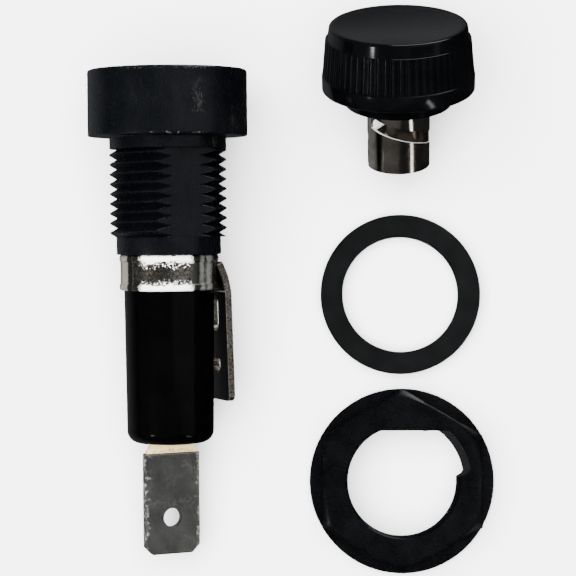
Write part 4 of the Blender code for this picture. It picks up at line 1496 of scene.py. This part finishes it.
@dataclass
class SprungContact:
    """What the fuse presses on: a disc on the barrel's floor, a spring of round wire and a dished cup."""

    seat_z: float = -32.27
    seat_t: float = 0.3
    seat_r: float = 3.95
    seat_edge: float = 0.06
    wire_r: float = 0.25
    mean_r: float = 3.55
    turns: float = 7.0
    coil_gap: float = 0.04
    coil_steps: int = 48
    wire_steps: int = 12
    gap: float = 0.03
    cup_r: float = 3.85
    cup_top_z: float = -21.9
    recess_r: float = 3.35
    recess_h: float = 0.6
    base_t: float = 0.6
    pilot_h: float = 0.6
    pilot_gap: float = 0.1
    cup_edge: float = 0.1
    stroke: float = 3.5

    def seat(self) -> BMesh:
        """Build the disc.

        Returns:
            The closed mesh.
        """
        low = self.seat_z
        top = low + self.seat_t
        return turned([(0.0, top), (self.seat_r, top), (self.seat_r, low), (0.0, low)], 96, self.seat_edge,
                      closed=False)

    def cup(self) -> BMesh:
        """Build the dished cup with its pilot.

        Returns:
            The closed mesh.
        """
        floor_z = self.cup_top_z - self.recess_h
        under = floor_z - self.base_t
        pilot_r = self.mean_r - self.wire_r - self.pilot_gap
        profile = [(0.0, floor_z), (self.recess_r, floor_z), (self.recess_r, self.cup_top_z),
                   (self.cup_r, self.cup_top_z), (self.cup_r, under), (pilot_r, under),
                   (pilot_r, under - self.pilot_h), (0.0, under - self.pilot_h)]
        return turned(profile, 96, self.cup_edge, closed=False)

    def spring(self, material: Material) -> BMesh:
        """Grow the spring with a tree.

        Args:
            material: The material that the tree sets.

        Returns:
            The spring's mesh.
        """
        start = self.seat_z + self.seat_t + self.gap + self.wire_r
        end = self.cup_top_z - self.recess_h - self.base_t - self.gap - self.wire_r
        closed_rise = 2.0 * self.wire_r + self.coil_gap
        open_rise = (end - start - 2.0 * closed_rise) / (self.turns - 2.0)
        grow = GrowTree("spring", {"Mean Radius": self.mean_r, "Wire Radius": self.wire_r, "Turns": self.turns,
                                   "Start": start, "Closed Rise": closed_rise, "Open Rise": open_rise})
        w = grow.wiring
        spiral = w.node("GeometryNodeCurveSpiral")
        spiral.inputs["Resolution"].default_value = self.coil_steps
        spiral.inputs["Height"].default_value = 1.0
        w.join(grow.size("Turns"), spiral.inputs["Rotations"])
        for key in ("Start Radius", "End Radius"):
            w.join(grow.size("Mean Radius"), spiral.inputs[key])
        along = w.node("GeometryNodeSplineParameter").outputs["Factor"]
        turn = w.times(along, grow.size("Turns"))
        opened = w.math("MINIMUM", w.math("MAXIMUM", w.minus(turn, 1.0), 0.0),
                        w.minus(grow.size("Turns"), 2.0))
        closed = w.times(w.minus(turn, opened), grow.size("Closed Rise"))
        rise = w.math("MULTIPLY_ADD", opened, grow.size("Open Rise"), closed)
        angle = w.times(turn, FULL_TURN)
        place = grow.around(angle, grow.size("Mean Radius"), w.plus(rise, grow.size("Start")))
        moved = w.node("GeometryNodeSetPosition")
        w.join(spiral.outputs[0], moved.inputs["Geometry"])
        w.join(place, moved.inputs["Position"])
        section = w.node("GeometryNodeCurvePrimitiveCircle")
        section.inputs["Resolution"].default_value = self.wire_steps
        w.join(grow.size("Wire Radius"), section.inputs["Radius"])
        grow.close(grow.swept(moved.outputs[0], section.outputs[0]))
        grown = grow.run(bmesh.new(), material)
        close_up(grown)
        return grown

    def dress(self, bench: Bench, place: Matrix) -> None:
        """Build the disc, spring and cup and finish them, with the cup on the sprung contact's body.

        Args:
            bench: The bench that finishes pieces.
            place: The holder's frame.
        """
        bench.finish_piece("seat_disc", self.seat(), place, SEAT_BRASS, "spring_seat")
        wire = self.spring(bench.material(WIRE_STEEL))
        coil = bench.finish_piece("coil_spring", wire, place, WIRE_STEEL, "contact_spring")
        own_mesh(coil)
        bench.finish_piece("dished_cup", self.cup(), place, CUP_BRASS, "contact_cup", Body.CONTACT)


@dataclass
class ContactSleeve:
    """Drawn brass tube in the housing, with a top flange and two inward lugs for the cap's slots."""

    outer_r: float = 3.95
    wall: float = 0.3
    flange_r: float = 4.5
    flange_t: float = 0.25
    top_z: float = 5.35
    end_z: float = -17.07
    lug_r: float = 0.45
    lug_drop: float = 0.6
    lug_tip_r: float = 3.2
    lug_turn_deg: float = -25.0
    edge: float = 0.1

    def build(self) -> BMesh:
        """Build the tube with its lugs.

        Returns:
            The tube's mesh.
        """
        inner_r = self.outer_r - self.wall
        under = self.top_z - self.flange_t
        profile = [(inner_r, self.top_z), (self.flange_r, self.top_z), (self.flange_r, under), (self.outer_r, under),
                   (self.outer_r, self.end_z), (inner_r, self.end_z)]
        parts = [turned(profile, 128, self.edge)]
        root = self.outer_r - self.wall / 2.0
        for i in range(2):
            lug = turned([(0.0, root), (self.lug_r, root), (self.lug_r, self.lug_tip_r), (0.0, self.lug_tip_r)], 32,
                         self.edge, closed=False)
            height = self.top_z - self.lug_drop - self.lug_r
            turn = Matrix.Rotation(math.radians(self.lug_turn_deg) + i * math.pi, 4, "Z")
            lug.transform(Matrix.Translation((0.0, 0.0, height)) @ turn @ Matrix.Rotation(math.pi / 2.0, 4, "Y"))
            parts.append(lug)
        return joined(*parts)

    def dress(self, bench: Bench, place: Matrix) -> None:
        """Build the tube and finish it."""
        bench.finish_piece("contact_tube", self.build(), place, SLEEVE_BRASS, "contact_sleeve")


@dataclass
class Cap:
    """Round cap with a smooth top band, a ribbed skirt, a plain rim and a boss below it."""

    top_r: float = 7.55
    band_r: float = 7.72
    top_h: float = 1.5
    top_edge: float = 0.3
    rim_r: float = 8.375
    rim_h: float = 1.8
    rim_edge: float = 0.2
    rib_h: float = 3.95
    rib_top_r: float = 7.95
    rib_end_r: float = 8.3
    rib_depth: float = 0.2
    rib_half_w: float = 0.31
    rib_count: int = 60
    rib_steps: int = 14
    rib_edge: float = 0.16
    band_step: float = 0.02
    dish_from: float = 0.75
    dish_to: float = 0.95
    dish_depth: float = 0.06
    boss_edge: float = 0.14
    boss_r: float = 5.875
    boss_h: float = 1.7
    bore_r: float = 3.5
    shank_r: float = 0.85
    bore_z: float = 1.23
    shank_z: float = 4.65

    @property
    def top_z(self) -> float:
        """Height of the cap's top face."""
        return self.rim_h + self.rib_h + self.top_h

    def profile(self) -> list[Point]:
        """Section of the smooth body below the ribs, from the inner bore out and up to the centre of the top.

        Returns:
            Points (radius, height).
        """
        band_z = self.rim_h + self.rib_h
        root_end = self.rib_end_r - self.rib_depth
        root_top = self.rib_top_r - self.rib_depth
        points = rounded([(0.0, self.shank_z), (self.shank_r, self.shank_z), (self.shank_r, self.bore_z),
                          (self.bore_r, self.bore_z), (self.bore_r, -self.boss_h), (self.boss_r, -self.boss_h),
                          (self.boss_r, 0.0), (self.rim_r - self.rim_edge, 0.0)], self.boss_edge, 3, closed=False)
        points += arc(self.rim_r - self.rim_edge, self.rim_edge, self.rim_edge, -90, 0, 5)
        points += arc(self.rim_r - self.rib_edge, self.rim_h - self.rib_edge, self.rib_edge, 0, 90, 4)
        points += [(root_end, self.rim_h), (root_top, band_z), (self.band_r, band_z + self.band_step)]
        points += arc(self.top_r - self.top_edge, self.top_z - self.top_edge, self.top_edge, 0, 90, 8)
        dish_z = self.top_z - self.dish_depth
        points += [(self.top_r - self.dish_from, self.top_z), (self.top_r - self.dish_to, dish_z), (0.0, dish_z)]
        return points

    def rib_tree(self) -> GrowTree:
        """Build the tree that sets the ribs round the skirt and joins them to the body.

        Returns:
            The tree, with inputs for the ribs' sizes.
        """
        grow = GrowTree("cap_ribs", {"Count": float(self.rib_count), "End Radius": self.rib_end_r - self.rib_depth,
                                     "Lean": self.rib_top_r - self.rib_end_r, "Start": self.rim_h,
                                     "Length": self.rib_h, "Depth": self.rib_depth, "Width": self.rib_half_w})
        w = grow.wiring
        points = w.node("GeometryNodePoints")
        w.join(grow.size("Count"), points.inputs["Count"])
        index = w.node("GeometryNodeInputIndex").outputs[0]
        angle = w.times(w.math("DIVIDE", index, grow.size("Count")), FULL_TURN)
        w.join(grow.around(angle, grow.size("End Radius"), grow.size("Start")), points.inputs["Position"])
        spine = w.node("GeometryNodeCurvePrimitiveLine")
        spine.inputs["Start"].default_value = (0.0, 0.0, 0.0)
        w.join(grow.vector(grow.size("Lean"), 0.0, grow.size("Length")), spine.inputs["End"])
        section = w.node("GeometryNodeCurvePrimitiveCircle")
        section.inputs["Resolution"].default_value = self.rib_steps
        section.inputs["Radius"].default_value = 1.0
        flat = w.node("GeometryNodeTransform")
        w.join(section.outputs[0], flat.inputs["Geometry"])
        w.join(grow.vector(grow.size("Width"), grow.size("Depth"), 1.0), flat.inputs["Scale"])
        rib = grow.swept(spine.outputs[0], flat.outputs[0])
        repeat = w.node("GeometryNodeInstanceOnPoints")
        w.join(points.outputs[0], repeat.inputs["Points"])
        w.join(rib, repeat.inputs["Instance"])
        w.join(grow.vector(0.0, 0.0, angle), repeat.inputs["Rotation"])
        both = w.node("GeometryNodeJoinGeometry")
        w.join(grow.size("Geometry"), both.inputs[0])
        w.join(repeat.outputs[0], both.inputs[0])
        grow.close(both.outputs[0])
        return grow

    def build(self, material: Material) -> BMesh:
        """Build the cap.

        Args:
            material: The material that the ribs' tree sets.

        Returns:
            The cap's body with its ribs.
        """
        return self.rib_tree().run(skin(stills(self.profile()), 160, closed=False), material)

    def dress(self, bench: Bench, place: Matrix) -> None:
        """Build the cap and finish it."""
        bench.finish_piece("ribbed_cap", self.build(bench.material(CAP_BLACK)), place, CAP_BLACK, "cap")


@dataclass
class CapSleeve:
    """Thin nickel sleeve under the cap, with two slanted cam slots that open at its end."""

    radius: float = 3.45
    wall: float = 0.25
    top_z: float = 1.2
    end_z: float = -8.8
    top_edge: float = 0.35
    hole_r: float = 0.85
    slot_w: float = 1.35
    slot_start: float = 3.25
    slot_rise: float = 2.5
    bridge_deg: float = 18.0
    leg_deg: float = 18.0
    turn_deg: float = 27.0
    steps: int = 160
    lit_cut_name: str = "lit_cut_face"
    cut_facing: float = 0.6

    def slot_edges(self, theta: float) -> Point:
        """Upper and lower heights of the cam slot at an angle.

        Args:
            theta: The angle, from the first slot's start.

        Returns:
            The two heights.
        """
        share = min((theta % math.pi) / (math.pi - math.radians(self.bridge_deg)), 1.0)
        centre = -self.slot_start - self.slot_rise * share
        return centre + self.slot_w / 2.0, centre - self.slot_w / 2.0

    def build(self) -> BMesh:
        """Build the sleeve as a sheet with its slots left out, and give it its wall.

        Returns:
            The mesh, with its upward-facing cut faces marked for a painted highlight.
        """
        bm = bmesh.new()
        step = FULL_TURN / self.steps
        columns = []
        for i in range(self.steps):
            theta = i * step
            upper, lower = self.slot_edges(theta)
            spots = [(self.hole_r, self.top_z)]
            spots += arc(self.radius - self.top_edge, self.top_z - self.top_edge, self.top_edge, 90, 0, 5)
            spots += [(self.radius, upper), (self.radius, lower), (self.radius, self.end_z)]
            turned_to = theta + math.radians(self.turn_deg)
            columns.append([bm.verts.new(around(r, turned_to, z)) for r, z in spots])
        slot_row = len(columns[0]) - 3
        for i in range(self.steps):
            middle = math.degrees(((i + 0.5) * step) % math.pi)
            in_slot = middle < 180.0 - self.bridge_deg
            in_leg = in_slot and middle > 180.0 - self.bridge_deg - self.leg_deg
            left, right = columns[i], columns[(i + 1) % self.steps]
            for row in range(len(left) - 1):
                if (row == slot_row and in_slot) or (row == slot_row + 1 and in_leg):
                    continue
                bm.faces.new((left[row + 1], right[row + 1], right[row], left[row]))
        bmesh.ops.recalc_face_normals(bm, faces=bm.faces[:])
        bmesh.ops.solidify(bm, geom=bm.faces[:], thickness=self.wall)
        bmesh.ops.recalc_face_normals(bm, faces=bm.faces[:])
        bm = in_order(bm)
        # Cut faces that face up, below the slots' start, are marked for a painted highlight.
        cut = bm.faces.layers.float.new(self.lit_cut_name)
        for face in bm.faces:
            height = face.calc_center_median().z
            face[cut] = 1.0 if face.normal.z > self.cut_facing and height < -self.slot_start else 0.0
        return bm

    def dress(self, bench: Bench, place: Matrix) -> None:
        """Build the sleeve and finish it."""
        bench.finish_piece("slotted_sleeve", self.build(), place, CAP_NICKEL, "cap_sleeve")


@dataclass
class CapRivet:
    """Rivet that holds the sleeve's top against the cap."""

    shank_r: float = 0.8
    top_z: float = 4.6
    head_r: float = 1.6
    head_z: float = 0.92
    head_h: float = 0.45
    head_side: float = 0.12
    dome_h: float = 0.33

    def build(self) -> BMesh:
        """Build the rivet.

        Returns:
            The closed mesh.
        """
        low = self.head_z - self.head_h
        turns = [math.radians(angle) for angle in range(0, 91, 15)]
        dome = [(self.head_r * math.cos(turn), self.head_z - self.head_side - self.dome_h * math.sin(turn))
                for turn in turns]
        profile = [(0.0, self.top_z), (self.shank_r, self.top_z), (self.shank_r, self.head_z),
                   (self.head_r, self.head_z)] + dome[:-1] + [(0.0, low)]
        return turned(profile, 48, closed=False)

    def dress(self, bench: Bench, place: Matrix) -> None:
        """Build the rivet and finish it."""
        bench.finish_piece("sleeve_rivet", self.build(), place, RIVET_STEEL, "cap_rivet")


@dataclass
class Gasket:
    """Flat rubber ring with slightly rounded edges."""

    outer_r: float = 8.9
    inner_r: float = 6.45
    thickness: float = 1.6
    edge: float = 0.16

    def build(self) -> BMesh:
        """Build the ring.

        Returns:
            The closed mesh.
        """
        profile = [(self.inner_r, 0.0), (self.outer_r, 0.0), (self.outer_r, self.thickness),
                   (self.inner_r, self.thickness)]
        return turned(profile, 160, self.edge)

    def dress(self, bench: Bench, place: Matrix) -> None:
        """Build the ring and finish it."""
        bench.finish_piece("gasket_ring", self.build(), place, GASKET_RUBBER, "gasket")


@dataclass
class Nut:
    """Hexagon nut with a round flange, a thread, and a sloping notch with a flat beside it."""

    flange_r: float = 10.225
    flange_h: float = 1.2
    half_flats: float = 8.73
    height: float = 4.6
    chamfer: float = 0.4
    major_r: float = 6.42
    thread_depth: float = 0.36
    hole_edge: float = 0.1
    lead_in: float = 0.35
    flat: float = 5.55
    notch_end_r: float = 6.95
    notch_top_r: float = 7.5
    notch_from_deg: float = 5.0
    notch_to_deg: float = 65.0
    notch_soft_deg: float = 4.0
    edge: float = 0.12
    foot: float = 0.05
    corner_in: float = 0.05
    flange_edge: float = 0.2
    fillet: float = 0.9
    side_end: float = 0.3
    top_ring: float = 1.9
    corner_fall: float = 0.35
    shoulder_drop: float = 0.4
    shoulder_in: float = 0.5
    shoulder_out: float = 0.15
    shoulder_shares: tuple[float, ...] = (0.0, 0.35, 0.7, 1.0)
    steps: int = 144

    def hexagon_r(self, theta: float) -> float:
        """Distance of the hexagon's side from the axis at an angle."""
        from_flat = (theta + math.pi / 6.0) % (math.pi / 3.0) - math.pi / 6.0
        return min(self.half_flats / math.cos(from_flat), self.flange_r - self.corner_in)

    def notch(self, bm: BMesh) -> None:
        """Move the thread's points out to the notch's sloping wall and keep them inside the flat.

        Args:
            bm: The nut's mesh, changed in place.
        """
        inner_limit = (self.notch_top_r + self.half_flats) / 2.0
        start, end = math.radians(self.notch_from_deg), math.radians(self.notch_to_deg)
        soft = math.radians(self.notch_soft_deg)
        for vertex in bm.verts:
            r = math.hypot(vertex.co.x, vertex.co.y)
            if r > inner_limit:
                continue
            theta = math.atan2(vertex.co.y, vertex.co.x) % FULL_TURN
            wall = self.notch_end_r + (self.notch_top_r - self.notch_end_r) * vertex.co.z / self.height
            share = min(max((theta - start) / soft, 0.0), max((end - theta) / soft, 0.0), 1.0)
            moved = r + (wall - r) * share * share * (3.0 - 2.0 * share)
            moved = min(moved, self.flat / max(math.sin(theta), TINY))
            if moved != r:
                vertex.co.x *= moved / r
                vertex.co.y *= moved / r

    def build(self, material: Material) -> BMesh:
        """Build the nut.

        Args:
            material: The material that the thread's tree sets.

        Returns:
            The closed mesh.
        """
        minor_r = self.major_r - self.thread_depth
        hole_r = minor_r + self.hole_edge
        top = self.height - self.lead_in
        rows: list[Row] = stills(rounded([(hole_r, self.foot), (hole_r, 0.0), (self.flange_r, 0.0),
                                          (self.flange_r, self.flange_h),
                                          (self.half_flats + self.fillet, self.flange_h)],
                                         self.flange_edge, 4, closed=False))
        rows += [lambda theta: (self.hexagon_r(theta) + self.edge, self.flange_h),
                 lambda theta: (self.hexagon_r(theta), self.flange_h + self.edge),
                 lambda theta: (self.hexagon_r(theta), self.height - self.chamfer - self.side_end)]
        rows += [lambda theta, share=share: self.shoulder(theta, share) for share in self.shoulder_shares]
        rows += stills([(hole_r + self.top_ring, self.height), (hole_r + self.edge, self.height),
                        (hole_r, self.height - self.edge)])
        thread = ScrewThread(top, top - self.lead_in, self.major_r, -self.thread_depth, FAR)
        bm = thread.lay(rows, [still(hole_r, self.lead_in)], self.steps, material)
        self.notch(bm)
        close_up(bm)
        return bm

    def shoulder(self, theta: float, share: float) -> Point:
        """A point of the rounded upper edge, which falls away at the hexagon's corners.

        Args:
            theta: The angle round the axis.
            share: How far in from the side, from 0 to 1.

        Returns:
            The point (radius, height).
        """
        side = self.hexagon_r(theta)
        corner = max(0.0, side - self.half_flats)
        low = self.height - self.chamfer * self.shoulder_drop - corner * self.corner_fall
        inner = min(side, self.half_flats + self.shoulder_out) - self.chamfer * self.shoulder_in
        r = side + (inner - side) * share
        return r, low + (self.height - low) * math.sin(share * math.pi / 2.0)

    def dress(self, bench: Bench, place: Matrix) -> None:
        """Build the nut and finish it."""
        bench.finish_piece("flanged_nut", self.build(bench.material(NUT_BLACK)), place, NUT_BLACK, "nut")


class Places:
    """Frames of the sub-assemblies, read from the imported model.

    The panel_seat mount lies SEAT_REACH from the holder's axis. The cap lies on its rim and on the end of
    its sleeve, and PACKED_CAP has the sizes that set its node's box.
    """

    SEAT_REACH = 7.4
    RIM_ACROSS = 16.75
    SLEEVE_ACROSS = 6.9
    SLEEVE_REACH = 8.8
    RIM_EDGE = 0.2
    CAP_LEAN_DEG = 1.35
    PACKED_CAP = Cap(top_r=7.3, band_r=7.3, top_h=1.2, rib_h=4.25, rib_top_r=7.925)

    def holder(self) -> Matrix:
        """Frame of the holder, from its spring's joint and its mounts.

        Returns:
            The frame's matrix, in metres.
        """
        mounts = {mount["name"]: mount for mount in frame["record"]["mounts"]}
        up = -Vector(frame["joints"][0]["axis"]).normalized()
        back = -Vector(mounts["end_blade"]["axis"]).normalized()
        side = back.cross(up).normalized()
        back = up.cross(side)
        origin = Vector(mounts["panel_seat"]["pos_m"]) + back * self.SEAT_REACH * MM
        return self.matrix(side, back, up, origin)

    def cap(self) -> Matrix:
        """Frame of the cap, from the tilt at which it rests, its lean and its node's box.

        Returns:
            The frame's matrix, in metres.
        """
        tilt = math.atan2((self.RIM_ACROSS - self.SLEEVE_ACROSS) / 2.0, self.SLEEVE_REACH + self.RIM_EDGE)
        lean = Matrix.Rotation(math.radians(self.CAP_LEAN_DEG), 3, "Z")
        side = lean @ Vector((1.0, 0.0, 0.0))
        back = lean @ Vector((0.0, math.sin(tilt), -math.cos(tilt)))
        up = lean @ Vector((0.0, math.cos(tilt), math.sin(tilt)))
        low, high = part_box("cap")
        section = self.PACKED_CAP.profile()
        origin = Vector((0.0, 0.0, 0.0))
        for i in range(3):
            across = math.sqrt(1.0 - up[i] ** 2)
            above = max(z * up[i] + r * across for r, z in section) * MM
            below = min(z * up[i] - r * across for r, z in section) * MM
            origin[i] = (high[i] - above + low[i] - below) / 2.0
        return self.matrix(side, back, up, origin)

    def flat(self, node: str) -> Matrix:
        """Frame of a piece that lies flat, at the middle of its node's box."""
        low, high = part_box(node)
        return Matrix.Translation(((low.x + high.x) / 2.0, (low.y + high.y) / 2.0, low.z))

    @staticmethod
    def matrix(side: Vector, back: Vector, up: Vector, origin: Vector) -> Matrix:
        """Matrix of a frame from its three axes and its origin."""
        turned_to = Matrix((side, back, up)).transposed().to_4x4()
        return Matrix.Translation(origin) @ turned_to


@dataclass
class Studio:
    """Pale floor, soft light and a camera that looks down from low in the picture, as the photo does.

    The table's glow fades in over TABLE_TOP, out over TABLE_FOOT and sideways over TABLE_SIDE.
    """

    TABLE_TOP = (0.0, -0.45)
    TABLE_FOOT = (-0.95, -0.78, 0.3, 1.0)
    TABLE_SIDE = (0.35, -0.1)

    aim: Triple = (-0.587, 0.28, 0.0)
    camera_place: Triple = (1.69, -15.88, 226.0)
    view_width: float = 64.74
    sensor_width: float = 36.0
    clip: Point = (0.01, 10.0)
    floor_colour: Triple = (0.93, 0.93, 0.93)
    floor_roughness: float = 0.9
    floor_specular: float = 0.1
    floor_drop: float = 0.02
    sky_colour: Triple = (0.93, 0.96, 1.0)
    sky_strength: float = 0.02
    table_glow: float = 0.19
    overhead_power: float = 41.0

    def camera(self) -> None:
        """Set the camera over its place and aim it at the middle of the photo's view."""
        sight = Vector(self.aim) - Vector(self.camera_place)
        data = bpy.data.cameras.new("camera")
        data.sensor_width = self.sensor_width
        data.lens = self.sensor_width * sight.length / self.view_width
        data.clip_start, data.clip_end = self.clip
        camera = add_object("camera", data)
        back = -sight.normalized()
        right = Vector((0.0, 1.0, 0.0)).cross(back).normalized()
        camera.location = Vector(self.camera_place) * MM
        camera.rotation_euler = Matrix((right, back.cross(right), back)).transposed().to_euler()
        bpy.context.scene.camera = camera

    def floor(self) -> None:
        """Lay the floor that the set lies on."""
        bm = bmesh.new()
        bmesh.ops.create_grid(bm, x_segments=1, y_segments=1, size=1.0)
        mesh = bpy.data.meshes.new("floor")
        bm.to_mesh(mesh)
        bm.free()
        material = bpy.data.materials.new("floor")
        material.use_nodes = True
        shader = material.node_tree.nodes["Principled BSDF"]
        shader.inputs["Base Color"].default_value = (*self.floor_colour, 1.0)
        shader.inputs["Roughness"].default_value = self.floor_roughness
        shader.inputs["Specular IOR Level"].default_value = self.floor_specular
        mesh.materials.append(material)
        floor = add_object("floor", mesh)
        floor.location.z = -self.floor_drop * MM
        floor.visible_glossy = False

    def lamp(self, name: str, place: Sequence[float], size: Point, power: float,
             glossy: bool = True) -> None:
        """Hang a soft rectangular lamp that faces the set.

        Args:
            name: The lamp's name.
            place: Its place, in millimetres.
            size: Its width and length, in millimetres.
            power: Its power, in watts.
            glossy: Whether it shows in reflections.
        """
        data = bpy.data.lights.new(name, "AREA")
        data.shape = "RECTANGLE"
        data.size, data.size_y = size[0] * MM, size[1] * MM
        data.energy = power
        lamp = add_object(name, data)
        lamp.location = Vector(place) * MM
        lamp.rotation_euler = (-Vector(place)).to_track_quat("-Z", "Y").to_euler()
        lamp.visible_glossy = glossy

    def sky(self) -> None:
        """Light the surroundings with a dim grey that is paler low down on the left, as a pale table reflects."""
        world = bpy.data.worlds.new("studio")
        world.use_nodes = True
        wiring = Wiring(world.node_tree)
        background = world.node_tree.nodes["Background"]
        background.inputs["Color"].default_value = (*self.sky_colour, 1.0)
        way = wiring.node("ShaderNodeSeparateXYZ")
        wiring.join(wiring.node("ShaderNodeTexCoord").outputs["Generated"], way.inputs[0])
        low = wiring.window(way.outputs["Z"], *self.TABLE_TOP)
        low = wiring.times(low, wiring.window(way.outputs["Z"], *self.TABLE_FOOT))
        left = wiring.window(way.outputs["X"], *self.TABLE_SIDE)
        glow = wiring.times(low, left)
        wiring.join(wiring.math("MULTIPLY_ADD", glow, self.table_glow, self.sky_strength),
                    background.inputs["Strength"])
        bpy.context.scene.world = world

    def build(self) -> None:
        """Set up the whole studio."""
        self.camera()
        self.floor()
        self.sky()
        self.lamp("overhead", (-110.0, 0.0, 600.0), (900.0, 900.0), self.overhead_power, glossy=False)
        self.lamp("ceiling", (-350.0, 0.0, 620.0), (1900.0, 1900.0), 0.8)
        self.lamp("right_panel", (520.0, -60.0, 600.0), (330.0, 900.0), 0.25)
        self.lamp("right_window", (385.0, -305.0, 232.0), (45.0, 150.0), 0.12)
        self.lamp("left_window", (-366.0, -216.0, 324.0), (26.0, 60.0), 0.15)
        self.lamp("back_strip", (190.0, 530.0, 150.0), (480.0, 260.0), 1.8)


@dataclass
class HolderSet:
    """The holder: everything on the fuse's axis, from the flange down to the end blade."""

    housing: Housing = field(default_factory=Housing)
    sleeve: ContactSleeve = field(default_factory=ContactSleeve)
    side_terminal: SideTerminal = field(default_factory=SideTerminal)
    barrel: Barrel = field(default_factory=Barrel)
    end_terminal: EndTerminal = field(default_factory=EndTerminal)
    contact: SprungContact = field(default_factory=SprungContact)

    def dress(self, bench: Bench, places: Places) -> None:
        """Build and finish the holder's pieces.

        Args:
            bench: The bench that finishes pieces.
            places: The sub-assemblies' frames.
        """
        place = places.holder()
        for piece in (self.housing, self.sleeve, self.side_terminal, self.barrel, self.end_terminal, self.contact):
            piece.dress(bench, place)


@dataclass
class CapSet:
    """The cap that was taken off, with the sleeve riveted into it."""

    cap: Cap = field(default_factory=Cap)
    sleeve: CapSleeve = field(default_factory=CapSleeve)
    rivet: CapRivet = field(default_factory=CapRivet)

    def dress(self, bench: Bench, places: Places) -> None:
        """Build and finish the cap's pieces.

        Args:
            bench: The bench that finishes pieces.
            places: The sub-assemblies' frames.
        """
        place = places.cap()
        for piece in (self.cap, self.sleeve, self.rivet):
            piece.dress(bench, place)


def main() -> None:
    """Build the set and its studio in order."""
    logging.basicConfig(level=logging.INFO, format="%(name)s %(message)s")
    bench = Bench()
    places = Places()
    HolderSet().dress(bench, places)
    CapSet().dress(bench, places)
    Gasket().dress(bench, places.flat("gasket"))
    Nut().dress(bench, places.flat("nut"))
    Studio().build()


if __name__ == "__main__":
    main()
